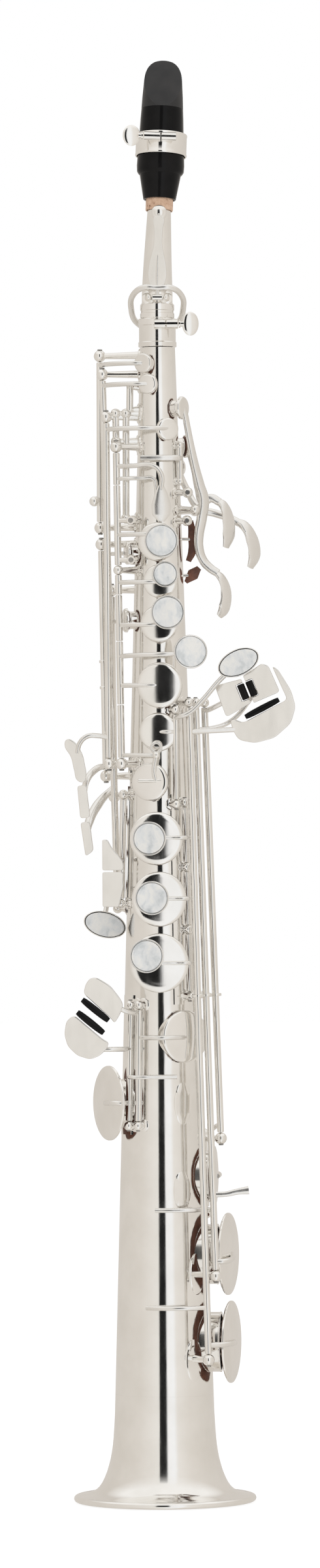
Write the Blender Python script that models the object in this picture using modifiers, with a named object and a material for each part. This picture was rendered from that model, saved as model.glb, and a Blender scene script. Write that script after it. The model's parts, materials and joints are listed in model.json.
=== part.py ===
"""A straight soprano saxophone, built from its separate pieces.

Everything is modelled in millimetres and scaled to metres when a piece is finished.
The axis of the body is +Z, the origin is the centre of the bell mouth, the front is -Y.
Azimuths are in degrees, from the front towards +X.
"""
import math
from collections import namedtuple

import bmesh
import bpy
from mathutils import Matrix, Vector

MM = 0.001
UP = Vector((0, 0, 1))

# Clearances
CLEAR = 0.3
WELD = 0.002

# Conical body: its outer radius at one height, and how much it narrows for each millimetre
CONE_Z = 43.0
CONE_R = 24.0
CONE_TAPER = 0.0303
WALL = 0.8
BELL_JOINT_Z = 52.0
BODY_TOP_Z = 556.5
BODY_SIDES = 24

# Bell flare
BELL_R = 44.0
RIM_R = 1.1
BELL_SIDES = 36

# Tone holes and cups
CHIMNEY_H = 2.6
CHIMNEY_WALL = 0.9
CUP_LAP = 1.6
CUP_H = 3.2
HOLE_SIDES = 12
SMALL_CUP_H = 2.6
SMALL_CUP_SIDES = 12
LOW_CUP_SIDES = 22

# Key work
TUBE_R = 1.65
ARM_R = 1.15
LEVER_R = 1.2
HEAVY_ARM_R = 1.3
STOP_ARM_R = 1.1
POST_R = 2.6
SMALL_POST_R = 2.0
STEM_R = 1.2
PLATE_T = 1.5
PEARL_R = 7.2
PEARL_GAP = 0.25
OVAL_PEARL = (9.5, 5.5)
OVAL_PLATE = (10.4, 6.3)
OVAL_PLATE_T = 1.8
SMALL_PEARL_R = 5.3
HOLDER_WALL = 1.0
HOLDER_H = 2.4
RECESS = 1.0
PEARL_H = 1.7
ROLLER_R = 1.75

# Neck, receiver and mouthpiece
RECEIVER_R = 9.2
RECEIVER_H = 13.6
TENON_R = 6.9
NECK_LOW_R = 7.4
NECK_TOP_R = 5.7
NECK_TOP_Z = 642.0
NECK_BEND_Z = 573.0
NECK_BEND_H = 30.0
NECK_LEAN = 6.8
NECK_LEAN_AZ = 162.0
CORK_R = 6.6
CORK_Z = 622.0
CORK_FIT = 0.35
GRIP_H = 13.5
SHANK_H = 12.0
BARREL_H = 32.5
BEAK_H = 23.0
SHANK_Z = NECK_TOP_Z - GRIP_H
SHOULDER_Z = SHANK_Z + SHANK_H
BEAK_Z = SHOULDER_Z + BARREL_H
TIP_Z = BEAK_Z + BEAK_H
SHANK_R = 7.9
MOUTHPIECE_R = 11.5
BEAK_R = 10.1
TIP_R = 8.2
MOUTHPIECE_BORE = CORK_R + CORK_FIT
TABLE_Y = 7.9
TIP_OPENING = 1.4
REED_T = 2.2
LIGATURE_T = 0.6
LIGATURE_H = 10.7
LIGATURE_Z = SHOULDER_Z + 9.2
LIGATURE_R = MOUTHPIECE_R + CLEAR + LIGATURE_T
LIGATURE_BARREL_R = 2.0

# Left little-finger table: two plates with a roller each in a notch along the seam between them
TABLE_FRONT_Y = -17.4
TABLE_SEAM = Vector((42.1, -16.7, 390.8))
TABLE_LEAN = 21.8
TABLE_ROLLER_R = 1.8
TABLE_ROLLER_H = 7.75
TABLE_ROLLER_GAP = 0.7
TABLE_EAR_GAP = 1.5

MATERIALS = {
    "silver": ((0.83, 0.81, 0.78, 1), 0.16, 1.0),
    "pearl": ((0.90, 0.88, 0.84, 1), 0.25, 0.0),
    "ebonite": ((0.02, 0.02, 0.02, 1), 0.30, 0.0),
    "cork": ((0.52, 0.33, 0.18, 1), 0.85, 0.0),
    "cane": ((0.78, 0.62, 0.34, 1), 0.55, 0.0),
    "roller_black": ((0.03, 0.03, 0.035, 1), 0.25, 0.0),
}


def clear_scene():
    for obj in list(bpy.data.objects):
        bpy.data.objects.remove(obj, do_unlink=True)


def make_material(name):
    colour, roughness, metallic = MATERIALS[name]
    material = bpy.data.materials.new(name)
    material.use_nodes = True
    shader = material.node_tree.nodes["Principled BSDF"]
    shader.inputs["Base Color"].default_value = colour
    shader.inputs["Roughness"].default_value = roughness
    shader.inputs["Metallic"].default_value = metallic
    return material


# Places on the cone

def radius_at(z):
    return CONE_R - CONE_TAPER * (z - CONE_Z)


def facing(azimuth):
    turn = math.radians(azimuth)
    return Vector((math.sin(turn), -math.cos(turn), 0))


def spot(z, azimuth, off):
    return facing(azimuth) * (radius_at(z) + off) + UP * z


def across(x, z, off):
    reach = radius_at(z) + off
    return Vector((x, -math.sqrt(reach * reach - x * x), z))


def azimuth_of(x, z, off=CHIMNEY_H):
    return math.degrees(math.asin(x / (radius_at(z) + off)))


def on_line(line, z):
    low, high = line
    return low.lerp(high, (z - low.z) / (high.z - low.z))


# Basic shapes

def new_object(mesh, name="piece"):
    obj = bpy.data.objects.new(name, mesh)
    bpy.context.scene.collection.objects.link(obj)
    return obj


def from_bmesh(bm):
    mesh = bpy.data.meshes.new("piece")
    bm.to_mesh(mesh)
    bm.free()
    return new_object(mesh)


def aim(point, direction):
    return Matrix.Translation(point) @ direction.to_track_quat("Z", "Y").to_matrix().to_4x4()


def rod(start, end, radius, sides=7, end_radius=None):
    axis = end - start
    bm = bmesh.new()
    bmesh.ops.create_cone(bm, cap_ends=True, segments=sides, radius1=radius,
                          radius2=radius if end_radius is None else end_radius, depth=axis.length)
    bmesh.ops.transform(bm, matrix=aim((start + end) / 2, axis), verts=bm.verts)
    return from_bmesh(bm)


def ball(centre, radius, segments=6, rings=4):
    bm = bmesh.new()
    bmesh.ops.create_uvsphere(bm, u_segments=segments, v_segments=rings, radius=radius)
    bmesh.ops.translate(bm, vec=centre, verts=bm.verts)
    return from_bmesh(bm)


def block(centre, size, turn=None):
    bm = bmesh.new()
    bmesh.ops.create_cube(bm, size=1)
    bmesh.ops.scale(bm, vec=size, verts=bm.verts)
    if turn is not None:
        bmesh.ops.transform(bm, matrix=turn.to_4x4(), verts=bm.verts)
    bmesh.ops.translate(bm, vec=centre, verts=bm.verts)
    return from_bmesh(bm)


def evaluated_mesh(obj):
    graph = bpy.context.evaluated_depsgraph_get()
    return bpy.data.meshes.new_from_object(obj.evaluated_get(graph))


def solid_from(obj):
    """Swap an object with modifiers, or a curve, for its evaluated and welded mesh."""
    mesh = evaluated_mesh(obj)
    bm = bmesh.new()
    bm.from_mesh(mesh)
    bmesh.ops.remove_doubles(bm, verts=bm.verts, dist=0.001)
    bmesh.ops.recalc_face_normals(bm, faces=bm.faces)
    bm.transform(obj.matrix_world)
    bpy.data.objects.remove(obj, do_unlink=True)
    return from_bmesh(bm)


def turned(profile, steps, closed=False):
    """Turn a profile of (radius, height) points about the Z axis."""
    mesh = bpy.data.meshes.new("profile")
    edges = [(i, i + 1) for i in range(len(profile) - 1)]
    if closed:
        edges.append((len(profile) - 1, 0))
    mesh.from_pydata([(r, 0, z) for r, z in profile], edges, [])
    obj = new_object(mesh)
    screw = obj.modifiers.new("turn", "SCREW")
    screw.steps = screw.render_steps = steps
    screw.use_merge_vertices = True
    screw.merge_threshold = 0.0001
    bpy.context.view_layer.update()
    return solid_from(obj)


def wire(points, radius, resolution=1, cyclic=False):
    curve = bpy.data.curves.new("wire", "CURVE")
    curve.dimensions = "3D"
    curve.bevel_depth = radius
    curve.bevel_resolution = resolution
    curve.use_fill_caps = True
    spline = curve.splines.new("POLY")
    spline.points.add(len(points) - 1)
    spline.use_cyclic_u = cyclic
    for target, point in zip(spline.points, points):
        target.co = (*point, 1)
    obj = new_object(curve)
    bpy.context.view_layer.update()
    return solid_from(obj)


def smooth_path(points, steps=2):
    """Points on a smooth curve through the given points."""
    path = []
    for i in range(len(points) - 1):
        before = points[max(i - 1, 0)]
        start, end = points[i], points[i + 1]
        after = points[min(i + 2, len(points) - 1)]
        for step in range(steps):
            t = step / steps
            path.append(0.5 * (2 * start + (end - before) * t
                               + (2 * before - 5 * start + 4 * end - after) * t ** 2
                               + (3 * start - before - 3 * end + after) * t ** 3))
    path.append(points[-1])
    return path


def arm(points, radius=ARM_R, steps=2):
    return wire(smooth_path([Vector(p) for p in points], steps), radius)


def flat_plate(outline, thickness=PLATE_T):
    """A flat plate from an outline of (x, z) points, standing in the XZ plane with its back at y=0."""
    curve = bpy.data.curves.new("outline", "CURVE")
    curve.dimensions = "2D"
    curve.fill_mode = "BOTH"
    curve.extrude = thickness / 2
    spline = curve.splines.new("POLY")
    spline.points.add(len(outline) - 1)
    spline.use_cyclic_u = True
    for target, (x, z) in zip(spline.points, outline):
        target.co = (x, z, 0, 1)
    obj = new_object(curve)
    obj.matrix_world = Matrix.Translation((0, -thickness / 2, 0)) @ Matrix.Rotation(math.pi / 2, 4, "X")
    bpy.context.view_layer.update()
    return solid_from(obj)


def oval(half_long, half_short, count=20):
    return [(half_long * math.cos(2 * math.pi * i / count), half_short * math.sin(2 * math.pi * i / count))
            for i in range(count)]


def move(obj, matrix):
    obj.data.transform(matrix)
    return obj


def boolean(base, other, operation):
    modifier = base.modifiers.new("join", "BOOLEAN")
    modifier.operation = operation
    modifier.solver = "EXACT"
    modifier.object = other
    bpy.context.view_layer.update()
    mesh = evaluated_mesh(base)
    bm = bmesh.new()
    bm.from_mesh(mesh)
    bmesh.ops.remove_doubles(bm, verts=bm.verts, dist=WELD)
    bmesh.ops.dissolve_degenerate(bm, edges=bm.edges, dist=WELD)
    bm.to_mesh(mesh)
    bm.free()
    base.modifiers.clear()
    base.data = mesh
    bpy.data.objects.remove(other, do_unlink=True)
    return base


def fuse(pieces):
    base = pieces[0]
    for other in pieces[1:]:
        boolean(base, other, "UNION")
    return base


def about_line(line, angle):
    low, high = line
    return (Matrix.Translation(low) @ Matrix.Rotation(math.radians(angle), 4, (high - low).normalized())
            @ Matrix.Translation(-low))


def finish(name, obj, material, pivot=Vector((0, 0, 0))):
    """Name a piece, put its origin on its pivot, shade it and scale it to metres."""
    obj.name = obj.data.name = name
    obj.data.transform(Matrix.Scale(MM, 4) @ Matrix.Translation(-pivot))
    obj.location = pivot * MM
    obj.data.materials.clear()
    obj.data.materials.append(bpy.data.materials[material])
    obj.data.shade_smooth()
    obj.data.set_sharp_from_angle(angle=math.radians(35))
    return obj


# Hinge lines, each from its lower to its upper end

def level_line(point, direction, half_length):
    return (point - direction * half_length, point + direction * half_length)


UPPER_STACK = (spot(355.8, -52, 9), spot(508.5, -69, 11.8))
LOWER_STACK = (spot(244, 40, 3), spot(337, 40, 3))
HIGH_E = (spot(355.8, -68, 12), spot(523, -78, 16.1))
HIGH_FS = (spot(286, -98, 4.6), spot(543.8, -92, 17.9))
HIGH_G = (spot(470, -104, 18), spot(553, -103, 20.1))
SIDE_C = (spot(350, -112, 13.6), spot(462, -104, 17.3))
SIDE_BB = (spot(340, -126, 12.7), spot(440, -126, 16.5))
SIDE_FS = (spot(288.5, -75, 3.5), spot(341, -75, 3.5))
GS_LINE = (across(7.5, 336.2, 5.5), across(7.5, 381.6, 5.5))
BB_LINE = (Vector((21.2, -27.0, 70)), Vector((13.9, -18.0, 385)))
B_LINE = (Vector((25.0, -25.0, 110)), Vector((17.2, -12.2, 385)))
CS_LINE = (Vector((28.0, -4.0, 175)), Vector((21.4, -6.0, 385)))
CS_CUP_LINE = (spot(138, 130, 6), spot(176, 130, 6))
LOW_C = (spot(182, -41, 5), spot(240, -41, 5))
LOW_EB = (spot(182, -29, 4.6), spot(240, -29, 4.6))
PALM_POINT = Vector((17.5, 3.0, 478.0))
PALM_LINE = level_line(PALM_POINT, Vector((0, 1, 0)), 14.2)
OCTAVE_LINE = level_line(spot(535, 180, 4.0), Vector((1, 0, 0)), 5.5)
NECK_KEY_LINE = level_line(Vector((0, -NECK_LOW_R - 2.2, 580.0)), Vector((1, 0, 0)), 4.0)

# Opening of the keys that stand open, in degrees about their hinge lines
UPPER_OPEN = -6.0
LOWER_OPEN = 7.0
LOW_C_OPEN = 10.0
LOW_B_OPEN = -9.0
LOW_BB_OPEN = -8.0

# Tone holes, with how far each cup laps its chimney
Hole = namedtuple("Hole", "z azimuth cup_r height lap", defaults=(CHIMNEY_H, CUP_LAP))


def front_hole(x, z, cup_r, *rest):
    return Hole(z, azimuth_of(x, z), cup_r, *rest)


HOLES = {
    "high_g": front_hole(-6.1, 548.6, 4.9),
    "high_fs": front_hole(-4.3, 538.5, 4.9),
    "palm_f": Hole(527.1, 62, 5.5),
    "high_e": front_hole(4.1, 516.7, 5.5),
    "palm_eb": Hole(509.0, 105, 5.5),
    "palm_d": Hole(499.0, 142, 5.5),
    "b": Hole(462.3, 0, 9.4),
    "side_c": Hole(457.5, -80, 5.6),
    "bis": front_hole(1.1, 443.3, 8.2),
    "side_bb": Hole(425.0, -80, 5.8),
    "a": front_hole(0.6, 422.8, 9.1),
    "g": front_hole(0.6, 393.4, 11.0),
    "gs": front_hole(-0.7, 371.0, 9.3, 2.2),
    "fs": front_hole(-4.2, 347.0, 9.2),
    "side_fs": Hole(331.0, -132, 5.4),
    "f": front_hole(-2.6, 319.8, 12.8),
    "e": front_hole(-1.6, 290.7, 13.2),
    "d": front_hole(-1.8, 260.1, 14.2),
    "low_eb": Hole(224.7, 30, 12.6),
    "low_c": Hole(192.4, -76, 18.0, 3.8, 6.5),
    "low_cs": Hole(156.7, 85, 15.0, CHIMNEY_H, 2.6),
    "low_b": Hole(119.1, 85, 19.8, 5.0, 5.4),
    "low_bb": Hole(76.8, 85, 19.8, 5.0, 5.4),
}

# Posts on the body: hinge line, height along it, ball radius
POSTS = [
    (UPPER_STACK, 355.8, POST_R), (UPPER_STACK, 449.0, SMALL_POST_R), (UPPER_STACK, 508.5, POST_R),
    (HIGH_E, 355.8, POST_R), (HIGH_E, 523.0, POST_R),
    (HIGH_FS, 286.0, SMALL_POST_R), (HIGH_FS, 543.8, POST_R),
    (HIGH_G, 470.0, POST_R), (HIGH_G, 553.0, POST_R),
    (SIDE_C, 350.0, POST_R), (SIDE_C, 462.0, POST_R),
    (SIDE_BB, 340.0, POST_R), (SIDE_BB, 440.0, POST_R),
    (SIDE_FS, 288.5, SMALL_POST_R), (SIDE_FS, 341.0, SMALL_POST_R),
    (GS_LINE, 336.2, SMALL_POST_R), (GS_LINE, 381.6, SMALL_POST_R),
    (LOWER_STACK, 244.0, SMALL_POST_R), (LOWER_STACK, 276.0, SMALL_POST_R),
    (LOWER_STACK, 306.0, SMALL_POST_R), (LOWER_STACK, 337.0, SMALL_POST_R),
    (BB_LINE, 70.0, POST_R), (BB_LINE, 385.0, SMALL_POST_R),
    (B_LINE, 110.0, POST_R, 66), (B_LINE, 385.0, SMALL_POST_R),
    (CS_LINE, 175.0, POST_R), (CS_LINE, 385.0, SMALL_POST_R),
    (CS_CUP_LINE, 138.0, POST_R), (CS_CUP_LINE, 176.0, POST_R),
    (LOW_C, 182.0, SMALL_POST_R), (LOW_C, 240.0, SMALL_POST_R),
    (LOW_EB, 182.0, SMALL_POST_R), (LOW_EB, 240.0, SMALL_POST_R),
]


# Body and bell

def bell():
    """The flare below the body joint, with a rolled rim that stands flat on z=0."""
    outer = [(radius_at(BELL_JOINT_Z), BELL_JOINT_Z), (CONE_R, CONE_Z), (24.8, 30.3), (25.6, 24.0),
             (27.0, 17.7), (29.2, 11.4), (31.9, 6.9), (35.5, 4.2), (39.5, 2.9),
             (BELL_R - RIM_R, 2 * RIM_R), (BELL_R, RIM_R)]
    rim = [(BELL_R - 0.8, 0.0), (BELL_R - 2.2, 0.0), (BELL_R - 2.7, 0.7)]
    inner = [(39.5, 2.9 - WALL), (35.2, 4.2 - WALL), (31.0, 6.3), (28.2, 11.0), (26.0, 17.4),
             (24.8 - WALL, 30.2), (radius_at(BELL_JOINT_Z) - WALL, BELL_JOINT_Z)]
    return turned(outer + rim + inner, BELL_SIDES, closed=True)


def along_hole(hole, depth, rise, radius):
    """A plug on a hole's axis, from a depth as a share of the body's radius to a rise above the body."""
    direction, reach = facing(hole.azimuth), radius_at(hole.z)
    return rod(UP * hole.z + direction * reach * depth, UP * hole.z + direction * (reach + rise), radius,
               HOLE_SIDES)


def chimney(hole):
    return along_hole(hole, 0.55, hole.height, hole.cup_r - hole.lap)


def chimney_bore(hole):
    return along_hole(hole, 0.3, hole.height + 1, hole.cup_r - hole.lap - CHIMNEY_WALL)


def post(line, z, ball_r, foot_azimuth=None):
    """A ball post whose stem meets the body straight below it, or at another azimuth."""
    centre = on_line(line, z)
    if foot_azimuth is None:
        foot_azimuth = math.degrees(math.atan2(centre.x, -centre.y))
    foot = spot(z, foot_azimuth, -0.5 * WALL)
    return [ball(centre, ball_r), rod(centre, foot, STEM_R, 5, STEM_R * 1.2)]


def body_tube():
    foot = BELL_JOINT_Z + CLEAR
    low, high = radius_at(foot), radius_at(BODY_TOP_Z)
    tube = turned([(0, BODY_TOP_Z), (high, BODY_TOP_Z), (low, foot), (0, foot)], BODY_SIDES)
    fuse([tube] + [chimney(hole) for hole in HOLES.values()])
    bore = turned([(0, BODY_TOP_Z + 1), (high - WALL, BODY_TOP_Z + 1), (low - WALL, foot - 1),
                   (0, foot - 1)],
                  BODY_SIDES)
    for hole in HOLES.values():
        boolean(tube, chimney_bore(hole), "DIFFERENCE")
    boolean(tube, bore, "DIFFERENCE")
    posts = [piece for place in POSTS for piece in post(*place)]
    for y in (PALM_LINE[0].y + 2.0, PALM_LINE[1].y - 2.0):
        centre = Vector((PALM_POINT.x, y, PALM_POINT.z))
        inward = Vector((-centre.x, -centre.y, 0)).normalized()
        reach = math.hypot(centre.x, centre.y) - radius_at(centre.z) + 0.5 * WALL
        posts += [ball(centre, SMALL_POST_R), rod(centre, centre + inward * reach, STEM_R, 6)]
    for end in OCTAVE_LINE:
        inward = Vector((0, -1, 0))
        reach = end.y - math.sqrt(radius_at(end.z) ** 2 - end.x ** 2) + 0.5 * WALL
        posts += [ball(end, SMALL_POST_R), rod(end, end + inward * reach, STEM_R, 6)]
    return fuse([tube] + posts)


# Parts of keys

def tube(line, low, high, radius=TUBE_R):
    return rod(on_line(line, low), on_line(line, high), radius)


def cup_facing(name):
    return facing(HOLES[name].azimuth)


def seat(name, lift=0.0):
    """The middle of a closed cup's underside, raised by lift."""
    hole = HOLES[name]
    return cup_facing(name) * (radius_at(hole.z) + hole.height + CLEAR + lift) + UP * hole.z


def on_cup(name, lift, aside, dz):
    """A place over a closed cup: lift above its underside, aside along its face and dz higher."""
    return seat(name, lift) + facing(HOLES[name].azimuth + 90) * aside + UP * dz


def cup(name, height=CUP_H, sides=16):
    cup_r = HOLES[name].cup_r
    profile = [(0, height), (0.6 * cup_r, 0.92 * height), (0.86 * cup_r, 0.68 * height),
               (cup_r, 0.42 * height), (cup_r, 0), (0, 0)]
    return move(turned(profile, sides), aim(seat(name), cup_facing(name)))


def small_cup(name):
    return cup(name, SMALL_CUP_H, SMALL_CUP_SIDES)


def arc_arm(start, end, bulge=0.0, radius=ARM_R, count=4):
    """An arm that runs round the body from start to end, raised by bulge half way."""
    first = math.atan2(start.x, -start.y)
    last = math.atan2(end.x, -end.y)
    near, far = math.hypot(start.x, start.y), math.hypot(end.x, end.y)
    points = []
    for i in range(count + 1):
        t = i / count
        turn = first + (last - first) * t
        reach = near + (far - near) * t + bulge * math.sin(math.pi * t)
        points.append(Vector((reach * math.sin(turn), -reach * math.cos(turn),
                              start.z + (end.z - start.z) * t)))
    return wire(points, radius)


def cup_arm(line, z, name, height=CUP_H, bulge=0.0, radius=ARM_R):
    top = seat(name, 0.55 * height)
    return arc_arm(on_line(line, z), Vector((top.x, top.y, z)), bulge, radius)


def holder(centre, direction, pearl_r):
    recess_r = pearl_r + PEARL_GAP
    outer = recess_r + HOLDER_WALL
    floor = HOLDER_H - RECESS
    profile = [(0, floor), (recess_r, floor), (recess_r, HOLDER_H), (outer, HOLDER_H),
               (outer, 0.5 * HOLDER_H),
               (0.6 * outer, 0), (0, 0)]
    return move(turned(profile, 13), aim(centre, direction))


def pearl(centre, direction, pearl_r):
    base = HOLDER_H - RECESS + CLEAR
    profile = [(0, base + PEARL_H - 0.35), (0.55 * pearl_r, base + PEARL_H - 0.2),
               (0.88 * pearl_r, base + PEARL_H),
               (pearl_r, base + PEARL_H - 0.4), (pearl_r, base), (0, base)]
    return move(turned(profile, 13), aim(centre, direction))


def plate_at(outline, front_y, thickness=PLATE_T):
    return move(flat_plate(outline, thickness), Matrix.Translation((0, front_y + thickness, 0)))


def key(name, line, swung, opening=0.0, steady=(), extras=()):
    """Fuse a key, with its swung pieces turned open about its hinge line, and finish it and its extras."""
    turn = about_line(line, opening)
    pieces = list(steady) + [move(piece, turn) for piece in swung]
    finish(name, fuse(pieces), "silver", line[0])
    for extra_name, piece, material in extras:
        finish(extra_name, move(piece, turn), material, line[0])


# Keys of the upper stack

def front_f_key():
    start = on_line(UPPER_STACK, 499)
    touch_y = -17.6
    outline = [(1.3 + 4.4 * math.sin(t) * (1.0 if math.cos(t) < 0 else 0.75), 480.5 + 8.5 * math.cos(t))
               for t in [2 * math.pi * i / 16 for i in range(16)]]
    reach = arm([start, (-12, -14.6, 499), (-3, -17.2, 499), (1.3, -17.6, 495), (1.3, touch_y + 0.7, 487)])
    key("front_f_key", UPPER_STACK,
        [tube(UPPER_STACK, 490.2, 505.5), reach, plate_at(outline, touch_y - 0.6, 1.6)])


def b_key():
    direction = cup_facing("b")
    centre = on_cup("b", CUP_H - 0.8, 2.3, 0.3)
    key("b_key", UPPER_STACK,
        [tube(UPPER_STACK, 451.5, 489.8), cup("b"), cup_arm(UPPER_STACK, 466, "b"),
         holder(centre, direction, PEARL_R)],
        UPPER_OPEN, extras=[("b_pearl", pearl(centre, direction, PEARL_R), "pearl")])


def bis_key():
    height = 2.4
    direction = cup_facing("bis")
    centre = on_cup("bis", height - 0.7, 2.5, 3.3)
    key("bis_key", UPPER_STACK,
        [tube(UPPER_STACK, 437.3, 446.6), cup("bis", height), cup_arm(UPPER_STACK, 443, "bis", height),
         holder(centre, direction, SMALL_PEARL_R)],
        UPPER_OPEN, extras=[("bis_pearl", pearl(centre, direction, SMALL_PEARL_R), "pearl")])


def a_key():
    lift = 1.0
    direction = cup_facing("a")
    centre = on_cup("a", CUP_H + lift, 4.4, 5.4)
    stem = rod(on_cup("a", 1.6, 2.6, 3.2), on_cup("a", CUP_H + lift + 0.8, 2.6, 3.2), 2.2)
    key("a_key", UPPER_STACK,
        [tube(UPPER_STACK, 415, 436.9), cup("a"), cup_arm(UPPER_STACK, 422.5, "a"), stem,
         holder(centre, direction, PEARL_R)],
        UPPER_OPEN, extras=[("a_pearl", pearl(centre, direction, PEARL_R), "pearl")])


def g_key():
    direction = facing(14)
    centre = Vector((15.4, -17.8, 409.2))
    touch_arm = arc_arm(on_line(UPPER_STACK, 407.5), centre + Vector((-1, 0.9, -0.7)), -0.6)
    key("g_key", UPPER_STACK,
        [tube(UPPER_STACK, 384.4, 414.6), cup("g"), cup_arm(UPPER_STACK, 393.4, "g"), touch_arm,
         holder(centre, direction, PEARL_R)],
        UPPER_OPEN, extras=[("g_pearl", pearl(centre, direction, PEARL_R), "pearl")])


def fs_key():
    top = seat("fs", 0.85 * CUP_H)
    knob = Vector((-1.1, top.y - 1.4, 359.8))
    key("fs_key", UPPER_STACK,
        [tube(UPPER_STACK, 358.8, 384), cup("fs"), arc_arm(on_line(UPPER_STACK, 359.9), knob, 0, 1.0),
         ball(knob, 1.9), rod(knob, top + Vector((0.6, -0.4, 3)), 1.4),
         rod(top + Vector((0.6, -0.4, 4)), top, 1.6)],
        UPPER_OPEN)


# Keys of the lower stack

def lower_key(name, low, high, arm_z, aside, dz):
    start = on_line(LOWER_STACK, arm_z)
    top, direction = seat(name, 0.9 * CUP_H), cup_facing(name)
    edge = HOLES[name].cup_r
    reach = arm([start, (start.x - 0.5, start.y - 2.5, arm_z), (start.x - 0.9, top.y - 0.2, arm_z),
                 (top.x + 0.55 * edge, top.y - 0.4, arm_z), (top.x + 1, top.y - 0.1, arm_z)], 1.05)
    centre = on_cup(name, CUP_H - 0.8, aside, dz)
    key(name + "_key", LOWER_STACK,
        [tube(LOWER_STACK, low, high, 1.55), cup(name, CUP_H, 20), reach,
         holder(centre, direction, PEARL_R)],
        LOWER_OPEN, extras=[(name + "_pearl", pearl(centre, direction, PEARL_R), "pearl")])


# Side keys on the left

def high_e_key():
    outline = [(-45.9, 365.3), (-44.7, 367.8), (-42.1, 367.2), (-38.0, 362.1), (-36.2, 355.8),
               (-35.6, 349.5),
               (-36.6, 347.3), (-39.7, 347.9), (-41.3, 352.7), (-42.8, 359.0)]
    start = on_line(HIGH_E, 368.5)
    reach = arm([start, (-30, -11, 369.4), (-35, -11.6, 369.2), (-38.6, -11.4, 366), (-40, -11, 361)],
                LEVER_R)
    over = cup_arm(HIGH_E, 517, "high_e", SMALL_CUP_H)
    key("high_e_key", HIGH_E, [tube(HIGH_E, 358.8, 520), small_cup("high_e"), over, reach,
                               plate_at(outline, -11.6)])


def high_fs_key():
    centre = Vector((-27.2, -3.0, 278.4))
    tilt = Matrix.Translation(centre) @ Matrix.Rotation(math.radians(15), 4, "Y")
    start = on_line(HIGH_FS, 291)
    plate = move(flat_plate(oval(*OVAL_PLATE), OVAL_PLATE_T), tilt)
    top = move(flat_plate(oval(*OVAL_PEARL), PEARL_H),
               Matrix.Translation((0, -OVAL_PLATE_T - CLEAR, 0)) @ tilt)
    reach = arm([start, (-24.6, 2.4, 290), (-27, 0.0, 284), (-27.2, -3.8, 279)], LEVER_R)
    key("high_fs_key", HIGH_FS, [tube(HIGH_FS, 288.4, 540.8), small_cup("high_fs"),
                                 cup_arm(HIGH_FS, 538.5, "high_fs", SMALL_CUP_H), reach, plate],
        extras=[("high_fs_pearl", top, "pearl")])


def high_g_key():
    start = on_line(HIGH_G, 484)
    reach = arm([start, (-30.5, 4.5, 484), (-31, 0, 483)], STOP_ARM_R)
    pad = rod(Vector((-31, 0, 486)), Vector((-31, 0, 477)), 2.0, 8)
    key("high_g_key", HIGH_G, [tube(HIGH_G, 473, 550), small_cup("high_g"),
                               cup_arm(HIGH_G, 548.6, "high_g", SMALL_CUP_H), reach, pad])


def side_key(name, line, low, high, outline, front_y, arm_points):
    top = seat(name, 0.8 * SMALL_CUP_H)
    start = on_line(line, top.z)
    behind = Vector((0.5 * (start.x + top.x) - 0.6, start.y + 0.8, top.z))
    over = arm([start, behind, (top.x - 0.2, top.y + 4.4, top.z), top], 1.0)
    key(name + "_key", line, [tube(line, low, high), small_cup(name), over, arm(arm_points, 1.2),
                              plate_at(outline, front_y)])


def side_c_key():
    outline = [(-40.0, 345.4), (-35.6, 346.0), (-33.8, 330.2), (-38.6, 329.6)]
    start = on_line(SIDE_C, 355)
    side_key("side_c", SIDE_C, 353, 459, outline, -6.6,
             [start, (-31.5, 0.5, 353), (-35.5, -4.6, 348), (-37, -5.8, 341)])


def side_bb_key():
    outline = [(-38.6, 327.7), (-34.1, 328.3), (-32.3, 314.1), (-36.2, 311.3)]
    start = on_line(SIDE_BB, 345)
    side_key("side_bb", SIDE_BB, 343, 437, outline, -4.6,
             [start, (-30.5, 6, 336), (-34.5, 0, 328), (-35.6, -3.8, 322)])


def side_fs_key():
    outline = [(-28.3, 288.5), (-26.5, 287.0), (-19.0, 287.0), (-18.0, 290.0), (-18.0, 317.0),
               (-19.5, 319.5),
               (-26.5, 319.5), (-28.3, 317.0)]
    start, low = on_line(SIDE_FS, 310), on_line(SIDE_FS, 296)
    top = seat("side_fs", 2.0)
    over = arc_arm(on_line(SIDE_FS, 331), top, -1.0, 0.9)
    key("side_fs_key", SIDE_FS, [tube(SIDE_FS, 290.9, 338.6), small_cup("side_fs"), over,
                                 rod(start, Vector((-22, -10.4, 310)), 1.2),
                                 rod(low, Vector((-22, -10.4, 296)), 1.2),
                                 plate_at(outline, -11.4)])


# Left little-finger table and the long rods

def gs_key():
    centre = Vector((37.8, -20.6, 404.0))
    tilt = Matrix.Translation(centre) @ Matrix.Rotation(math.radians(-25), 4, "Y")
    plate = move(flat_plate(oval(*OVAL_PLATE), OVAL_PLATE_T), tilt)
    top = move(flat_plate(oval(*OVAL_PEARL), PEARL_H),
               Matrix.Translation((0, -OVAL_PLATE_T - CLEAR, 0)) @ tilt)
    start = on_line(GS_LINE, 377.5)
    reach = arm([start, (9.5, -21.8, 378.2), (14.5, -23.0, 380.4), (21, -22.6, 386.6), (28.6, -20.9, 395.4),
                 (36, -20.3, 402.2)], LEVER_R)
    over = cup_arm(GS_LINE, 371, "gs", 2.8, 0.6, 1.0)
    key("gs_key", GS_LINE, [tube(GS_LINE, 338.6, 379.2, 1.5), cup("gs", 2.8), over, reach, plate],
        extras=[("gs_pearl", top, "pearl")])


def table_point(along, aside):
    """A point of the table, down the seam between its plates and to the right of it, as (x, z)."""
    lean = math.radians(TABLE_LEAN)
    return (TABLE_SEAM.x + along * math.sin(lean) + aside * math.cos(lean),
            TABLE_SEAM.z - along * math.cos(lean) + aside * math.sin(lean))


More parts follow.
